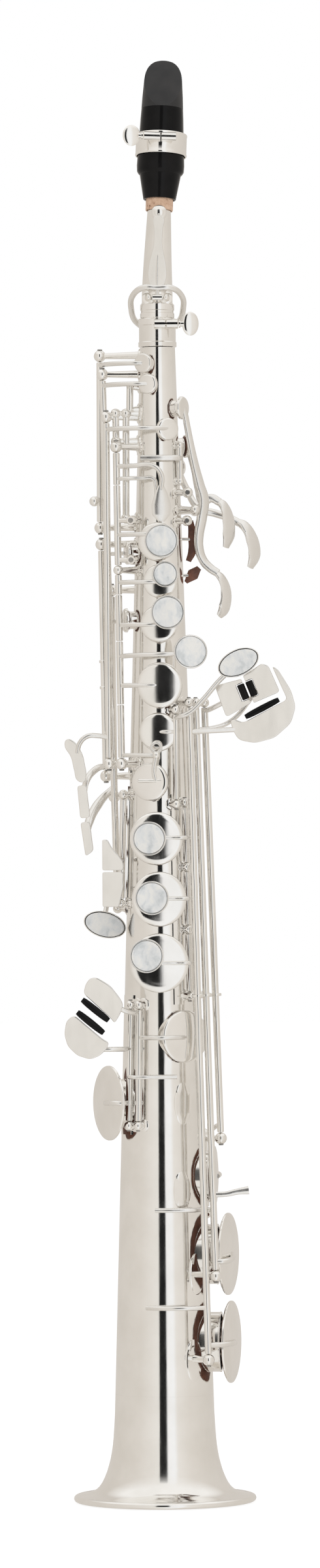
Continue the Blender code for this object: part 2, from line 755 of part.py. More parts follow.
def table_notch(side):
    """The edge of a plate along the seam, from the top down, with the notch for its roller."""
    ear = 0.5 * side * TABLE_EAR_GAP
    deep = side * (0.5 * TABLE_ROLLER_GAP + 2 * TABLE_ROLLER_R + CLEAR)
    half = 0.5 * TABLE_ROLLER_H + CLEAR
    places = [(-half, ear), (-half, deep), (half, deep), (half, ear)]
    return [table_point(along, aside) for along, aside in places]


def table_roller_ends(side):
    aside = side * (0.5 * TABLE_ROLLER_GAP + TABLE_ROLLER_R)
    ends = [table_point(along, aside) for along in (-0.5 * TABLE_ROLLER_H, 0.5 * TABLE_ROLLER_H)]
    return [Vector((x, TABLE_SEAM.y, z)) for x, z in ends]


BARREL_ROLLER = [(0.72, 0), (0.95, 0.2), (1, 0.5), (0.95, 0.8), (0.72, 1)]
STRAIGHT_ROLLER = [(0.85, 0), (1, 0.06), (1, 0.94), (0.85, 1)]


def roller(start, end, radius, shape):
    """A turned roller; its shape is given in shares of its radius and its length."""
    length = (end - start).length
    side = [(share * radius, height * length) for share, height in reversed(shape)]
    return move(turned([(0, length)] + side + [(0, 0)], 12), aim(start, end - start))


ROLLERS = {
    "bb_roller": (Vector((41.0, -16.9, 377.85)), Vector((57.2, -16.9, 386.2)), 1.6, BARREL_ROLLER),
    "table_roller_left": (*table_roller_ends(-1), TABLE_ROLLER_R, STRAIGHT_ROLLER),
    "table_roller_right": (*table_roller_ends(1), TABLE_ROLLER_R, STRAIGHT_ROLLER),
    "eb_roller": (Vector((-38.2, -25.2, 243.0)), Vector((-25.6, -25.2, 232.8)), ROLLER_R, BARREL_ROLLER),
    "c_roller": (Vector((-40.6, -25.2, 237.0)), Vector((-28.0, -25.2, 226.8)), ROLLER_R, BARREL_ROLLER),
}


def rollers():
    for name, (start, end, radius, shape) in ROLLERS.items():
        finish(name, roller(start, end, radius, shape), "roller_black", start)


def low_bb_key():
    outline = [(33.8, 376.4), (35.0, 371.6), (37.8, 366.9), (45.7, 365.3), (55.2, 367.8), (63.2, 374.8),
               (65.5, 382.7), (63.3, 390.6), (57.0, 400.7), (54.2, 402.3), (59.6, 390.4), (61.6, 386.2),
               (40.2, 375.2), (36.0, 376.8)]
    reach = arm([on_line(BB_LINE, 371), (24, -17.0, 371.4), (36, -16.8, 372)], 1.3, 1)
    stop = arc_arm(on_line(BB_LINE, 95), across(-8.3, 94.8, 2.2), 0.6, 1.1, 5)
    top = seat("low_bb", 0.85 * CUP_H)
    start = on_line(BB_LINE, 77)
    over = arm([start, (28.5, -22.0, 77), (31.6, -15, 77), tuple(top)], HEAVY_ARM_R)
    key("low_bb_key", BB_LINE, [cup("low_bb", CUP_H, LOW_CUP_SIDES), over], LOW_BB_OPEN,
        steady=[tube(BB_LINE, 73, 382.6), reach, stop, plate_at(outline, TABLE_FRONT_Y)])


def low_b_key():
    corners = [table_point(-7.2, 0.5 * TABLE_EAR_GAP), (49.2, 403.5), (52.3, 402.6), (57.9, 389.9),
               table_point(6.9, 0.5 * TABLE_EAR_GAP)]
    outline = corners + table_notch(1)[::-1]
    reach = arm([on_line(B_LINE, 372), (24, -11.6, 372.5), (34, -11.2, 376), (44, -12.0, 387),
                 (49.5, -16.0, 394)], STOP_ARM_R)
    stop = arm([on_line(B_LINE, 141.5), (22.2, -17.5, 141.5), (15, -22.0, 141.5), (5, -23.4, 141.5),
                tuple(across(-4, 141.5, 2.2))], STOP_ARM_R)
    top = seat("low_b", 0.85 * CUP_H)
    start = on_line(B_LINE, 117)
    over = arm([start, (29.2, -23.5, 117), (31.4, -16, 117.5), tuple(top)], HEAVY_ARM_R)
    key("low_b_key", B_LINE, [cup("low_b", CUP_H, LOW_CUP_SIDES), over], LOW_B_OPEN,
        steady=[tube(B_LINE, 113, 382.6), reach, stop, plate_at(outline, TABLE_FRONT_Y)])


def low_cs_lever():
    outline = [(26.3, 393.1), table_point(-6.1, -0.5 * TABLE_EAR_GAP)] + table_notch(-1)
    outline += [table_point(6.4, -0.5 * TABLE_EAR_GAP), (31.9, 377.9)]
    reach = arm([on_line(CS_LINE, 381), (24.5, -11, 382), (30.5, -16.0, 385)], LEVER_R)
    lift = arm([on_line(CS_LINE, 181), (26.5, 0.5, 181), (24.0, 6.5, 179)], STOP_ARM_R)
    key("low_cs_lever", CS_LINE, [tube(CS_LINE, 178, 382.6), reach, lift, plate_at(outline, TABLE_FRONT_Y)])


def low_cs_key():
    top = seat("low_cs", 0.85 * CUP_H)
    start = on_line(CS_CUP_LINE, 157)
    over = arm([start, (24.6, 16.5, 157), (27.0, 9.0, 157), tuple(top)], HEAVY_ARM_R)
    key("low_cs_key", CS_CUP_LINE, [tube(CS_CUP_LINE, 141, 173), cup("low_cs", CUP_H, 20), over])


# Right little-finger keys

def low_eb_key():
    outline = [(-37.4, 246.0), (-36.4, 250.5), (-34.0, 253.4), (-30.9, 253.4), (-24.6, 249.6),
               (-19.9, 243.6),
               (-18.3, 240.5), (-19.9, 235.7), (-22.6, 231.6), (-24.2, 233.8)]
    start = on_line(LOW_EB, 236.4)
    reach = arm([start, (-14.5, -23.2, 236.4), (-19, -25.0, 238), (-23, -24.9, 240)], LEVER_R)
    over = cup_arm(LOW_EB, 224.4, "low_eb", SMALL_CUP_H, 3.2)
    key("low_eb_key", LOW_EB, [tube(LOW_EB, 184.4, 237.6), cup("low_eb", SMALL_CUP_H, 18), reach, over,
                               plate_at(outline, -26.0)])


def low_c_key():
    outline = [(-42.2, 235.6), (-45.9, 232.6), (-46.9, 226.3), (-45.3, 220.6), (-40.6, 216.1),
               (-34.3, 214.2),
               (-29.5, 216.1), (-26.0, 219.9), (-25.4, 222.4), (-28.8, 224.4)]
    start = on_line(LOW_C, 219)
    reach = arm([start, (-18.6, -22.6, 219), (-23.5, -24.8, 219), (-29, -24.9, 219)], LEVER_R)
    stop_start = on_line(LOW_C, 205.5)
    stop = arm([stop_start, (-15.4, -22.4, 205.5), (-11.0, -24.0, 205.5), (-3, -23.6, 205.5),
                (7, -22.4, 205.5)], 1.05)
    top = seat("low_c", 0.85 * CUP_H)
    over = arm([on_line(LOW_C, 193), (-20.5, -21.4, 193), (-25.2, -15, 193), tuple(top)], HEAVY_ARM_R)
    key("low_c_key", LOW_C, [cup("low_c", CUP_H, LOW_CUP_SIDES), over], LOW_C_OPEN,
        steady=[tube(LOW_C, 184.4, 237.6), reach, stop, plate_at(outline, -26.0)])


# Palm keys, which rock on one cross rod

def palm_tube(low, high):
    return rod(Vector((PALM_POINT.x, low, PALM_POINT.z)), Vector((PALM_POINT.x, high, PALM_POINT.z)),
               TUBE_R)


def palm_f_key():
    top = seat("palm_f", 2.0)
    lever = arm([top, (15.4, -6.6, 511), (17.6, -5.6, 500), (20.2, -5, 490), (22.6, -4.4, 483),
                 (22.4, -4.2, 474),
                 (19.9, -4.2, 466), (19.4, -4.2, 460), (21.2, -4.2, 454), (25.4, -4.2, 449.4),
                 (31, -4.2, 446)], HEAVY_ARM_R)
    stub = rod(Vector((17.5, -3.9, 478)), Vector((22.8, -4.3, 478.5)), HEAVY_ARM_R)
    touch = block(Vector((31.4, -3.0, 437)), Vector((2.0, 10, 21)),
                  Matrix.Rotation(math.radians(-20), 3, "Z"))
    key("palm_f_key", PALM_LINE, [palm_tube(-5.6, -1.8), small_cup("palm_f"), lever, stub, touch])


def palm_eb_key():
    top = seat("palm_eb", 2.0)
    lever = arm([top, (17.4, 3.0, 498), (19.4, 1.6, 488), (21.6, 1.2, 481.5), (27, 1.0, 483.6),
                 (33.4, 1.0, 478)], HEAVY_ARM_R)
    stub = rod(Vector((17.5, 1.3, 478)), Vector((21.6, 1.2, 481.5)), HEAVY_ARM_R)
    touch = block(Vector((33.6, 0.4, 470)), Vector((1.9, 9, 21)))
    key("palm_eb_key", PALM_LINE, [palm_tube(-1.4, 4.0), small_cup("palm_eb"), lever, stub, touch])


def palm_d_key():
    top = seat("palm_d", 2.0)
    lever = arm([top, (14, 11.2, 488), (19.4, 8.4, 479.5), (28, 8.8, 476.6), (36, 8.6, 473.6),
                 (41.4, 8.4, 470),
                 (44.6, 8.2, 463)], HEAVY_ARM_R)
    stub = rod(Vector((17.5, 8.4, 478)), Vector((20.4, 8.3, 479)), HEAVY_ARM_R)
    touch = block(Vector((45.4, 8.2, 460)), Vector((1.9, 9, 20)),
                  Matrix.Rotation(math.radians(-14), 3, "Y"))
    key("palm_d_key", PALM_LINE, [palm_tube(4.4, 11.6), small_cup("palm_d"), lever, stub, touch])


# Octave mechanism

def octave_thumb_lever():
    middle = (OCTAVE_LINE[0] + OCTAVE_LINE[1]) / 2
    barrel = rod(middle - Vector((3.1, 0, 0)), middle + Vector((3.1, 0, 0)), TUBE_R)
    paddle_y = radius_at(466) + 5.0
    down = arm([middle, (0, middle.y + 1.6, 515), (0, paddle_y + 0.6, 490), (0, paddle_y, 474)],
               HEAVY_ARM_R)
    paddle = block(Vector((0, paddle_y + 0.4, 466)), Vector((12, 1.8, 19)))
    up = arm([middle, (0, middle.y - 0.2, 545), (0, 11.6, 553), (0, RECEIVER_R + 1.05, 559),
              (0, RECEIVER_R + 1.05, 567)],
             0.6)
    key("octave_thumb_lever", OCTAVE_LINE, [barrel, down, paddle, up])


def along_neck(obj):
    """Bend a piece that was modelled on the straight axis along the leaning neck."""
    lean = math.radians(NECK_LEAN)
    sideways = facing(NECK_LEAN_AZ)
    bend_r = NECK_BEND_H / lean
    for vertex in obj.data.vertices:
        point = vertex.co.copy()
        rise = point.z - NECK_BEND_Z
        if rise <= 0:
            continue
        turn = min(rise / NECK_BEND_H, 1) * lean
        beyond = max(rise - NECK_BEND_H, 0)
        flat = Vector((point.x, point.y, 0))
        along = flat.dot(sideways)
        spine = sideways * (bend_r * (1 - math.cos(turn)) + beyond * math.sin(turn))
        height = NECK_BEND_Z + bend_r * math.sin(turn) + beyond * math.cos(turn)
        vertex.co = (spine + (flat - sideways * along) + sideways * along * math.cos(turn)
                     + UP * (height - along * math.sin(turn)))
    return obj


def neck_octave_key():
    hinge_y = NECK_KEY_LINE[0].y
    barrel = rod(Vector((-2.5, hinge_y, 580)), Vector((2.5, hinge_y, 580)), 1.4)
    lever = arm([(0, hinge_y, 580), (0, hinge_y - 0.3, 590), (0, -9.4, 606), (0, -9.2, 620)], LEVER_R)
    pad = move(turned([(0, 2.2), (2.8, 2.0), (3.8, 1.2), (3.8, 0), (0, 0)], 16),
               aim(Vector((0, -7.5, 620.6)), Vector((0, -1, 0))))
    half = [(0, -9.9, 584.5), (6.5, -9.4, 584.5), (11.6, -4.5, 581.5), (12.6, 2, 576), (9.6, 8.8, 569)]
    back = [(0, 12.6, 565.8)]
    ring = [Vector(p) for p in half] + [Vector(p) for p in back] + [Vector((-x, y, z)) for x, y,
                                                                    z in half[:0:-1]]
    hoop = wire(smooth_path(ring + [ring[0]], 2)[:-1], 1.2, cyclic=True)
    finish("neck_octave_key", along_neck(fuse([barrel, lever, pad, hoop])), "silver", NECK_KEY_LINE[0])


# Neck, receiver and mouthpiece

def neck_receiver():
    low = BODY_TOP_Z + CLEAR
    high = low + RECEIVER_H
    bore = TENON_R + CLEAR
    ring = turned([(bore, high), (RECEIVER_R, high), (RECEIVER_R, low), (bore, low)], 24, closed=True)
    lug = block(Vector((4.2, -RECEIVER_R - 0.9, high - 3.0)), Vector((11.6, 4.4, 5.4)))
    finish("neck_receiver", fuse([ring, lug]), "silver")


RECEIVER_SCREW_LINE = (Vector((10.3, -RECEIVER_R - 1.2, BODY_TOP_Z + RECEIVER_H - 2.7)),
                       Vector((13.0, -RECEIVER_R - 1.2, BODY_TOP_Z + RECEIVER_H - 2.7)))


def receiver_screw():
    start, end = RECEIVER_SCREW_LINE
    paddle = move(flat_plate(oval(3.6, 5.8, 16), 2.0), Matrix.Translation(end + Vector((2.4, 1.0, 0))))
    finish("receiver_screw", fuse([rod(start, end, 1.4), paddle]), "silver", start)


def neck_tube():
    tenon_low, tenon_high = BODY_TOP_Z + 0.8, BODY_TOP_Z + RECEIVER_H + 2 * CLEAR
    profile = [(NECK_TOP_R - WALL, NECK_TOP_Z), (NECK_TOP_R, NECK_TOP_Z), (NECK_TOP_R, CORK_Z)]
    for share in (0.8, 0.6, 0.4, 0.2, 0):
        profile.append((NECK_LOW_R + (NECK_TOP_R - NECK_LOW_R) * share, 583 + (CORK_Z - 583) * share))
    profile += [(NECK_LOW_R, 577.2), (8.2, 576.4), (8.2, tenon_high), (TENON_R, tenon_high),
                (TENON_R, tenon_low), (TENON_R - WALL, tenon_low), (TENON_R - WALL, 577),
                (NECK_LOW_R - 1.2, 590)]
    profile += [(NECK_TOP_R - WALL, CORK_Z)]
    tube_body = turned(profile, 20, closed=True)
    vent = rod(Vector((0, -NECK_TOP_R + 0.4, 620.6)), Vector((0, -7.2, 620.6)), 1.6)
    saddles = []
    for x in (-4.2, 4.2):
        saddles += [ball(Vector((x, NECK_KEY_LINE[0].y, 580)), 1.35, 8, 6),
                    rod(Vector((x, NECK_KEY_LINE[0].y, 580)), Vector((x, -5.6, 580)), 0.9, 6)]
    finish("neck_tube", along_neck(fuse([tube_body, vent] + saddles)), "silver")


def neck_cork():
    inner = NECK_TOP_R + CLEAR
    top = NECK_TOP_Z - 1.0
    low = CORK_Z + 1.0
    ring = turned([(inner, top), (CORK_R - 0.2, top), (CORK_R, top - 2), (CORK_R, low), (inner, low)], 20,
                  closed=True)
    finish("neck_cork", along_neck(ring), "cork")


def mouthpiece():
    bore_top = BEAK_Z - 0.4 * BARREL_H
    profile = [(0, TIP_Z), (0.6 * TIP_R, TIP_Z), (TIP_R, TIP_Z - 4.7), (9.3, TIP_Z - 11), (BEAK_R, BEAK_Z),
               (10.7, BEAK_Z - 12), (MOUTHPIECE_R, SHOULDER_Z + 4.5), (MOUTHPIECE_R - 0.2, SHOULDER_Z + 1.6),
               (9.95, SHOULDER_Z), (SHANK_R, SHANK_Z), (MOUTHPIECE_BORE, SHANK_Z),
               (MOUTHPIECE_BORE, bore_top), (0, bore_top + 4)]
    body = turned(profile, 28)
    table_h = TIP_Z - SHOULDER_Z + 2 * CLEAR
    table = block(Vector((0, TABLE_Y + 20, 0.5 * (SHOULDER_Z + TIP_Z))), Vector((50, 40, table_h)))
    boolean(body, table, "DIFFERENCE")
    slope = Vector((0, TABLE_Y - TIP_OPENING + BEAK_R, BEAK_H))
    slant = math.atan2(slope.y, slope.z)
    outward = Vector((0, -math.cos(slant), math.sin(slant)))
    beak = block(Vector((0, -BEAK_R, BEAK_Z)) + outward * 20 + slope * 0.5,
                 Vector((50, 40, 3 * slope.length)), Matrix.Rotation(-slant, 3, "X"))
    boolean(body, beak, "DIFFERENCE")
    finish("mouthpiece", along_neck(body), "ebonite")


def reed():
    butt, shoulder, tip = SHOULDER_Z + 0.5, TIP_Z - 7, TIP_Z - 1.4
    outline = [(-5.0, butt), (5.0, butt), (5.9, shoulder), (4.8, tip), (-4.8, tip), (-5.9, shoulder)]
    cane = plate_at(outline, TABLE_Y + CLEAR, REED_T)
    shave = block(Vector((0, TABLE_Y + CLEAR + REED_T + 9.4, TIP_Z - 14)), Vector((30, 20, 60)),
                  Matrix.Rotation(math.radians(4), 3, "X"))
    boolean(cane, shave, "DIFFERENCE")
    finish("reed", along_neck(cane), "cane")


LIGATURE_BARREL = Vector((0, -LIGATURE_R - 1.3, LIGATURE_Z + LIGATURE_H - 3.4))
LIGATURE_SCREW_LINE = (LIGATURE_BARREL + Vector((-8.9, 0, 0)), LIGATURE_BARREL + Vector((-11.2, 0, 0)))


def ligature():
    low, high = LIGATURE_Z, LIGATURE_Z + LIGATURE_H
    inner = LIGATURE_R - LIGATURE_T
    band = turned([(inner, high), (LIGATURE_R, high), (LIGATURE_R, low), (inner, low)], 28, closed=True)
    barrel = rod(LIGATURE_BARREL + Vector((-8.5, 0, 0)), LIGATURE_BARREL + Vector((7.3, 0, 0)),
                 LIGATURE_BARREL_R)
    finish("ligature", along_neck(fuse([band, barrel])), "silver")


def ligature_screw():
    start, end = LIGATURE_SCREW_LINE
    paddle = move(flat_plate(oval(3.8, 5.4, 16), 1.8), Matrix.Translation(end + Vector((-2.8, 0.9, 0))))
    finish("ligature_screw", along_neck(fuse([rod(start, end, 1.2), paddle])), "silver", start)


# Fittings at the back

def thumb_rest():
    base = spot(438, 180, CLEAR)
    disc = turned([(0, 3.4), (6.0, 3.2), (7.4, 2.2), (7.4, 1.4), (3.2, 1.2), (3.2, 0), (0, 0)], 24)
    finish("thumb_rest", move(disc, aim(base, Vector((0, 1, 0)))), "ebonite")


def thumb_hook():
    y = radius_at(289) + CLEAR
    base = block(Vector((0, y + 0.8, 300)), Vector((9, 1.6, 22)))
    hook = arm([(0, y + 1, 303), (0, y + 8, 304), (0, y + 14, 301), (0, y + 17, 294), (0, y + 15.5, 287)],
               3.0)
    finish("thumb_hook", fuse([base, hook]), "silver")


def strap_ring():
    y = radius_at(348) + CLEAR
    base = block(Vector((0, y + 0.9, 348)), Vector((6, 1.8, 9)))
    loop_r = 5.0
    centre = Vector((0, y + loop_r + 1.2, 348))
    loop = wire([centre + Vector((0, loop_r * math.cos(t), loop_r * math.sin(t)))
                 for t in [2 * math.pi * i / 16 for i in range(16)]], 1.2, cyclic=True)
    finish("strap_ring", fuse([base, loop]), "silver")


def main():
    clear_scene()
    for name in MATERIALS:
        make_material(name)
    finish("bell", bell(), "silver")
    finish("body_tube", body_tube(), "silver")
    for build in (neck_receiver, receiver_screw, neck_tube, neck_cork, neck_octave_key, mouthpiece, reed,
                  ligature, ligature_screw, thumb_rest, thumb_hook, strap_ring, octave_thumb_lever,
                  palm_f_key, palm_eb_key, palm_d_key, front_f_key, b_key, bis_key, a_key, g_key, gs_key,
                  fs_key, high_e_key, high_fs_key, high_g_key, side_c_key, side_bb_key, side_fs_key,
                  low_eb_key, low_c_key, low_cs_lever, low_cs_key, low_b_key, low_bb_key, rollers):
        build()
    lower_key("f", 308.4, 334.6, 320.2, -3.5, 0)
    lower_key("e", 278.4, 303.6, 291.0, -3.7, 0.6)
    lower_key("d", 246.4, 273.6, 260.1, -6.2, 3.5)
    group = bpy.data.collections.new("soprano_saxophone")
    bpy.context.scene.collection.children.link(group)
    for obj in list(bpy.context.scene.collection.objects):
        group.objects.link(obj)
        bpy.context.scene.collection.objects.unlink(obj)


main()
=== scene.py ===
import json
import math
import bpy
from mathutils import Matrix, Vector


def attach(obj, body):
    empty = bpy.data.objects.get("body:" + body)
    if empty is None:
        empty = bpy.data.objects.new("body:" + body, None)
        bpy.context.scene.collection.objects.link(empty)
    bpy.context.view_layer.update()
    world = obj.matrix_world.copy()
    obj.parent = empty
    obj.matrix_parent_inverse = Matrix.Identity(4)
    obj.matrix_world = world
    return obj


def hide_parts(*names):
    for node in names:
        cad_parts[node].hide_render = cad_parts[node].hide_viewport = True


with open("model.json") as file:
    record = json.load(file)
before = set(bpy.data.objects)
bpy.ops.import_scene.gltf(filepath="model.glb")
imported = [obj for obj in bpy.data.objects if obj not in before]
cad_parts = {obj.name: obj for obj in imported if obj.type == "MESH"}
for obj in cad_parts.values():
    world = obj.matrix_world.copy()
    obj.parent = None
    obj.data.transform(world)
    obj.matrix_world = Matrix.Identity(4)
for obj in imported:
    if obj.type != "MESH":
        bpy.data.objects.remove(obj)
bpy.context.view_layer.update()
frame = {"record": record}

mm = 0.001  # everything below is modelled in millimetres, front is -Y
plateTurn = -9.0  # degrees by which flat touches look to the left
up = Vector((0, 0, 1))
jointOf = {joint["name"]: joint for joint in frame["record"]["behaviour"]["joints"]}


# places on the conical body and on the hinge lines

cone = {"z": 43.0, "radius": 24.0, "taper": 0.0303}


def coneAt(z):
    return cone["radius"] - cone["taper"] * (z - cone["z"])


def facing(azimuth):
    turn = math.radians(azimuth)
    return Vector((math.sin(turn), -math.cos(turn), 0))


def spot(z, azimuth, off):
    return facing(azimuth) * (coneAt(z) + off) + up * z


def across(x, z, off):
    reach = coneAt(z) + off
    return Vector((x, -math.sqrt(reach * reach - x * x), z))


def hingeOf(jointName):
    joint = jointOf[jointName]
    return Vector(joint["pos_m"]) / mm, Vector(joint["axis"])


def onHinge(jointName, z):
    point, axis = hingeOf(jointName)
    return point + axis * ((z - point.z) / axis.z)


def spin(degrees, axis):
    return Matrix.Rotation(math.radians(degrees), 4, axis)


def azimuthOf(point):
    return math.degrees(math.atan2(point.x, -point.y))


def aimAt(point, direction):
    return Matrix.Translation(point) @ Vector(direction).to_track_quat("Z", "Y").to_matrix().to_4x4()


def swingOn(jointName, degrees):
    point, axis = hingeOf(jointName)
    return Matrix.Translation(point) @ spin(degrees, axis) @ Matrix.Translation(-point)


# modelling, one object at a time

def startFresh():
    if bpy.context.mode != "OBJECT":
        bpy.ops.object.mode_set(mode="OBJECT")
    bpy.ops.object.select_all(action="DESELECT")


def pick(obj):
    startFresh()
    obj.select_set(True)
    bpy.context.view_layer.objects.active = obj


def place(obj, matrix):
    pick(obj)
    obj.matrix_world = matrix @ obj.matrix_world
    bpy.ops.object.transform_apply(location=True, rotation=True, scale=True)
    return obj


def copyOf(obj):
    twin = obj.copy()
    twin.data = obj.data.copy()
    bpy.context.scene.collection.objects.link(twin)
    return twin


def joinUp(parts):
    startFresh()
    for part in parts:
        part.select_set(True)
    bpy.context.view_layer.objects.active = parts[0]
    if len(parts) > 1:
        bpy.ops.object.join()
    return bpy.context.object


def cleanUp(threshold=0.0005):  # merges points that meet and turns the faces outwards
    bpy.ops.object.mode_set(mode="EDIT")
    bpy.ops.mesh.select_all(action="SELECT")
    bpy.ops.mesh.remove_doubles(threshold=threshold)
    bpy.ops.mesh.normals_make_consistent(inside=False)
    bpy.ops.object.mode_set(mode="OBJECT")
    return bpy.context.object


def cutAway(obj, cutter):
    pick(obj)
    cut = obj.modifiers.new("cut", "BOOLEAN")
    cut.operation, cut.object, cut.solver = "DIFFERENCE", cutter, "EXACT"
    bpy.ops.object.modifier_apply(modifier=cut.name)
    bpy.data.objects.remove(cutter, do_unlink=True)
    return obj


def bigBlock(centre, size, turn=None):
    startFresh()
    bpy.ops.mesh.primitive_cube_add(size=1, scale=size)
    bpy.ops.object.transform_apply(location=True, rotation=True, scale=True)
    return place(bpy.context.object, Matrix.Translation(centre) @ (turn or Matrix.Identity(4)))


def lathe(profile, steps=40, ring=False, angle=360.0):  # profile of (radius, height) spun about Z
    startFresh()
    bpy.ops.mesh.primitive_plane_add(size=1)
    bpy.ops.object.mode_set(mode="EDIT")
    bpy.ops.mesh.merge(type="CENTER")
    points = list(profile) + ([profile[0]] if ring else [])
    radius, height = points[0]
    bpy.ops.transform.translate(value=(radius, 0, height))
    for nextRadius, nextHeight in points[1:]:
        step = (nextRadius - radius, 0, nextHeight - height)
        bpy.ops.mesh.extrude_region_move(TRANSFORM_OT_translate={"value": step})
        radius, height = nextRadius, nextHeight
    bpy.ops.mesh.select_all(action="SELECT")
    bpy.ops.mesh.spin(steps=steps, angle=math.radians(angle), center=(0, 0, 0), axis=(0, 0, 1))
    return cleanUp()


def drawCurve(points, loop, handles="AUTO"):
    startFresh()
    if loop:
        bpy.ops.curve.primitive_bezier_circle_add()
    else:
        bpy.ops.curve.primitive_bezier_curve_add()
    curve = bpy.context.object.data
    spline = curve.splines[0]
    spline.bezier_points.add(len(points) - len(spline.bezier_points))
    for knot, point in zip(spline.bezier_points, points):
        knot.co = point
        knot.handle_left_type = knot.handle_right_type = handles
    return curve


def bendWire(points, radius, swell=None, sides=5, fine=8, loop=False):  # round bar through the points
    curve = drawCurve(points, loop)
    for knot, share in zip(curve.splines[0].bezier_points, swell or [1.0] * len(points)):
        knot.radius = share
    curve.bevel_depth = radius
    curve.bevel_resolution = sides
    curve.resolution_u = fine
    curve.use_fill_caps = not loop
    bpy.ops.object.convert(target="MESH")
    bpy.context.object.data.materials.append(touchSilver)
    return cleanUp()


def strap(points, radii, normal, flatness):  # a bar that swells along its length, hammered flat
    spine = bendWire(points, 0.0, fine=10)
    centres = [vertex.co.copy() for vertex in spine.data.vertices]
    bpy.data.objects.remove(spine, do_unlink=True)
    bar, thin = bendWire(points, 1.0, swell=radii, sides=7, fine=10), Vector(normal).normalized()
    for vertex in bar.data.vertices:
        centre = min(centres, key=lambda point: (point - vertex.co).length_squared)
        vertex.co -= thin * ((vertex.co - centre).dot(thin) * (1 - flatness))
    return bar


def cutPlate(outline, thickness, edge=0.4, curved=True):  # plate in the XZ plane, its back on y=0
    curve = drawCurve([(x, z, 0) for x, z in outline], True, "AUTO" if curved else "VECTOR")
    curve.dimensions = "2D"
    curve.fill_mode = "BOTH"
    curve.extrude = thickness / 2 - edge
    curve.bevel_depth = edge
    curve.bevel_resolution = 3
    curve.offset = -edge
    curve.resolution_u = 6
    bpy.ops.object.convert(target="MESH")
    plate = cleanUp(0.001)
    flatEdges = [key for face in plate.data.polygons if abs(face.normal.z) > 0.999 for key in face.edge_keys]
    border = {key for key in flatEdges if flatEdges.count(key) == 1}
    for side in plate.data.edges:
        side.use_edge_sharp = side.key in border
    return place(plate, Matrix.Translation((0, -thickness / 2, 0)) @ Matrix.Rotation(math.pi / 2, 4, "X"))


def plateAt(outline, frontY, thickness=1.5, edge=0.4, curved=True, turn=plateTurn, pivot=None):
    if pivot is None:
        pivot = 0.5 * (min(x for x, _ in outline) + max(x for x, _ in outline))
    plate = cutPlate([(x - pivot, z) for x, z in outline], thickness, edge, curved)
    plate.data.materials.append(plateSilver)
    return place(plate, Matrix.Translation((pivot, frontY + thickness, 0)) @ spin(turn, "Z"))


def paddle(size, level=3):  # rounded touch: a cube softened by subdivision
    obj = bigBlock((0, 0, 0), size)
    bpy.ops.object.mode_set(mode="EDIT")
    bpy.ops.mesh.select_all(action="SELECT")
    bpy.ops.mesh.subdivide(number_cuts=2)
    bpy.ops.object.mode_set(mode="OBJECT")
    soften = obj.modifiers.new("soften", "SUBSURF")
    soften.levels = soften.render_levels = level
    bpy.ops.object.modifier_apply(modifier=soften.name)
    return obj


def discOn(point, direction, profile, steps=40):
    return place(lathe(profile, steps), aimAt(point, direction))


def ballAt(point, radius):
    turns = [math.radians(degrees) for degrees in range(0, 181, 12)]
    return discOn(point, facing(0), [(radius * math.sin(a), -radius * math.cos(a)) for a in turns], 28)


def tubeBetween(start, end, radius, steps=24):  # hinge tube with softened ends
    length = (end - start).length
    soft = min(0.25, 0.2 * length)
    profile = [(0, 0), (radius - soft, 0), (radius, soft), (radius, length - soft), (radius - soft, length),
               (0, length)]
    return discOn(start, end - start, profile, steps)


# finishes

def setInputs(node, values):
    for socket, value in values.items():
        node.inputs[socket].default_value = value
    return node


def addNode(tree, kind, values, vector):
    node = setInputs(tree.nodes.new(kind), values)
    tree.links.new(vector, node.inputs["Vector"])
    return node


def newMaterial(name, values):
    material = bpy.data.materials.new(name)
    material.use_nodes = True
    tree = material.node_tree
    shader = setInputs(tree.nodes["Principled BSDF"], values)
    return material, tree, shader, tree.nodes.new("ShaderNodeTexCoord").outputs["Object"]


def noiseOn(tree, where, scale, detail=4.0, stretch=None):
    if stretch:
        where = addNode(tree, "ShaderNodeMapping", {"Scale": stretch}, where).outputs["Vector"]
    values = {"Scale": scale, "Detail": detail, "Roughness": 0.55}
    return addNode(tree, "ShaderNodeTexNoise", values, where).outputs["Fac"]


def cellsOn(tree, where, scale):
    return addNode(tree, "ShaderNodeTexVoronoi", {"Scale": scale}, where).outputs["Distance"]


def rampOn(tree, source, stops):
    ramp = tree.nodes.new("ShaderNodeValToRGB")
    while len(ramp.color_ramp.elements) < len(stops):
        ramp.color_ramp.elements.new(0.5)
    for element, (position, colour) in zip(ramp.color_ramp.elements, stops):
        element.position = position
        element.color = (*colour, 1)
    tree.links.new(source, ramp.inputs["Fac"])
    return ramp.outputs["Color"]


def colourBy(tree, shader, source, stops):
    tree.links.new(rampOn(tree, source, stops), shader.inputs["Base Color"])


def rangeOn(tree, source, low, high, fromLow=0.0, fromHigh=1.0):
    values = {"From Min": fromLow, "From Max": fromHigh, "To Min": low, "To Max": high}
    spread = setInputs(tree.nodes.new("ShaderNodeMapRange"), values)
    tree.links.new(source, spread.inputs["Value"])
    return spread.outputs["Result"]


def bumpOn(tree, shader, source, strength, distance):
    bump = setInputs(tree.nodes.new("ShaderNodeBump"), {"Strength": strength, "Distance": distance})
    tree.links.new(source, bump.inputs["Height"])
    tree.links.new(bump.outputs["Normal"], shader.inputs["Normal"])


silverPlate = {"bright": (0.93, 0.915, 0.89), "dull": (0.88, 0.862, 0.83), "polish": (0.05, 0.13)}


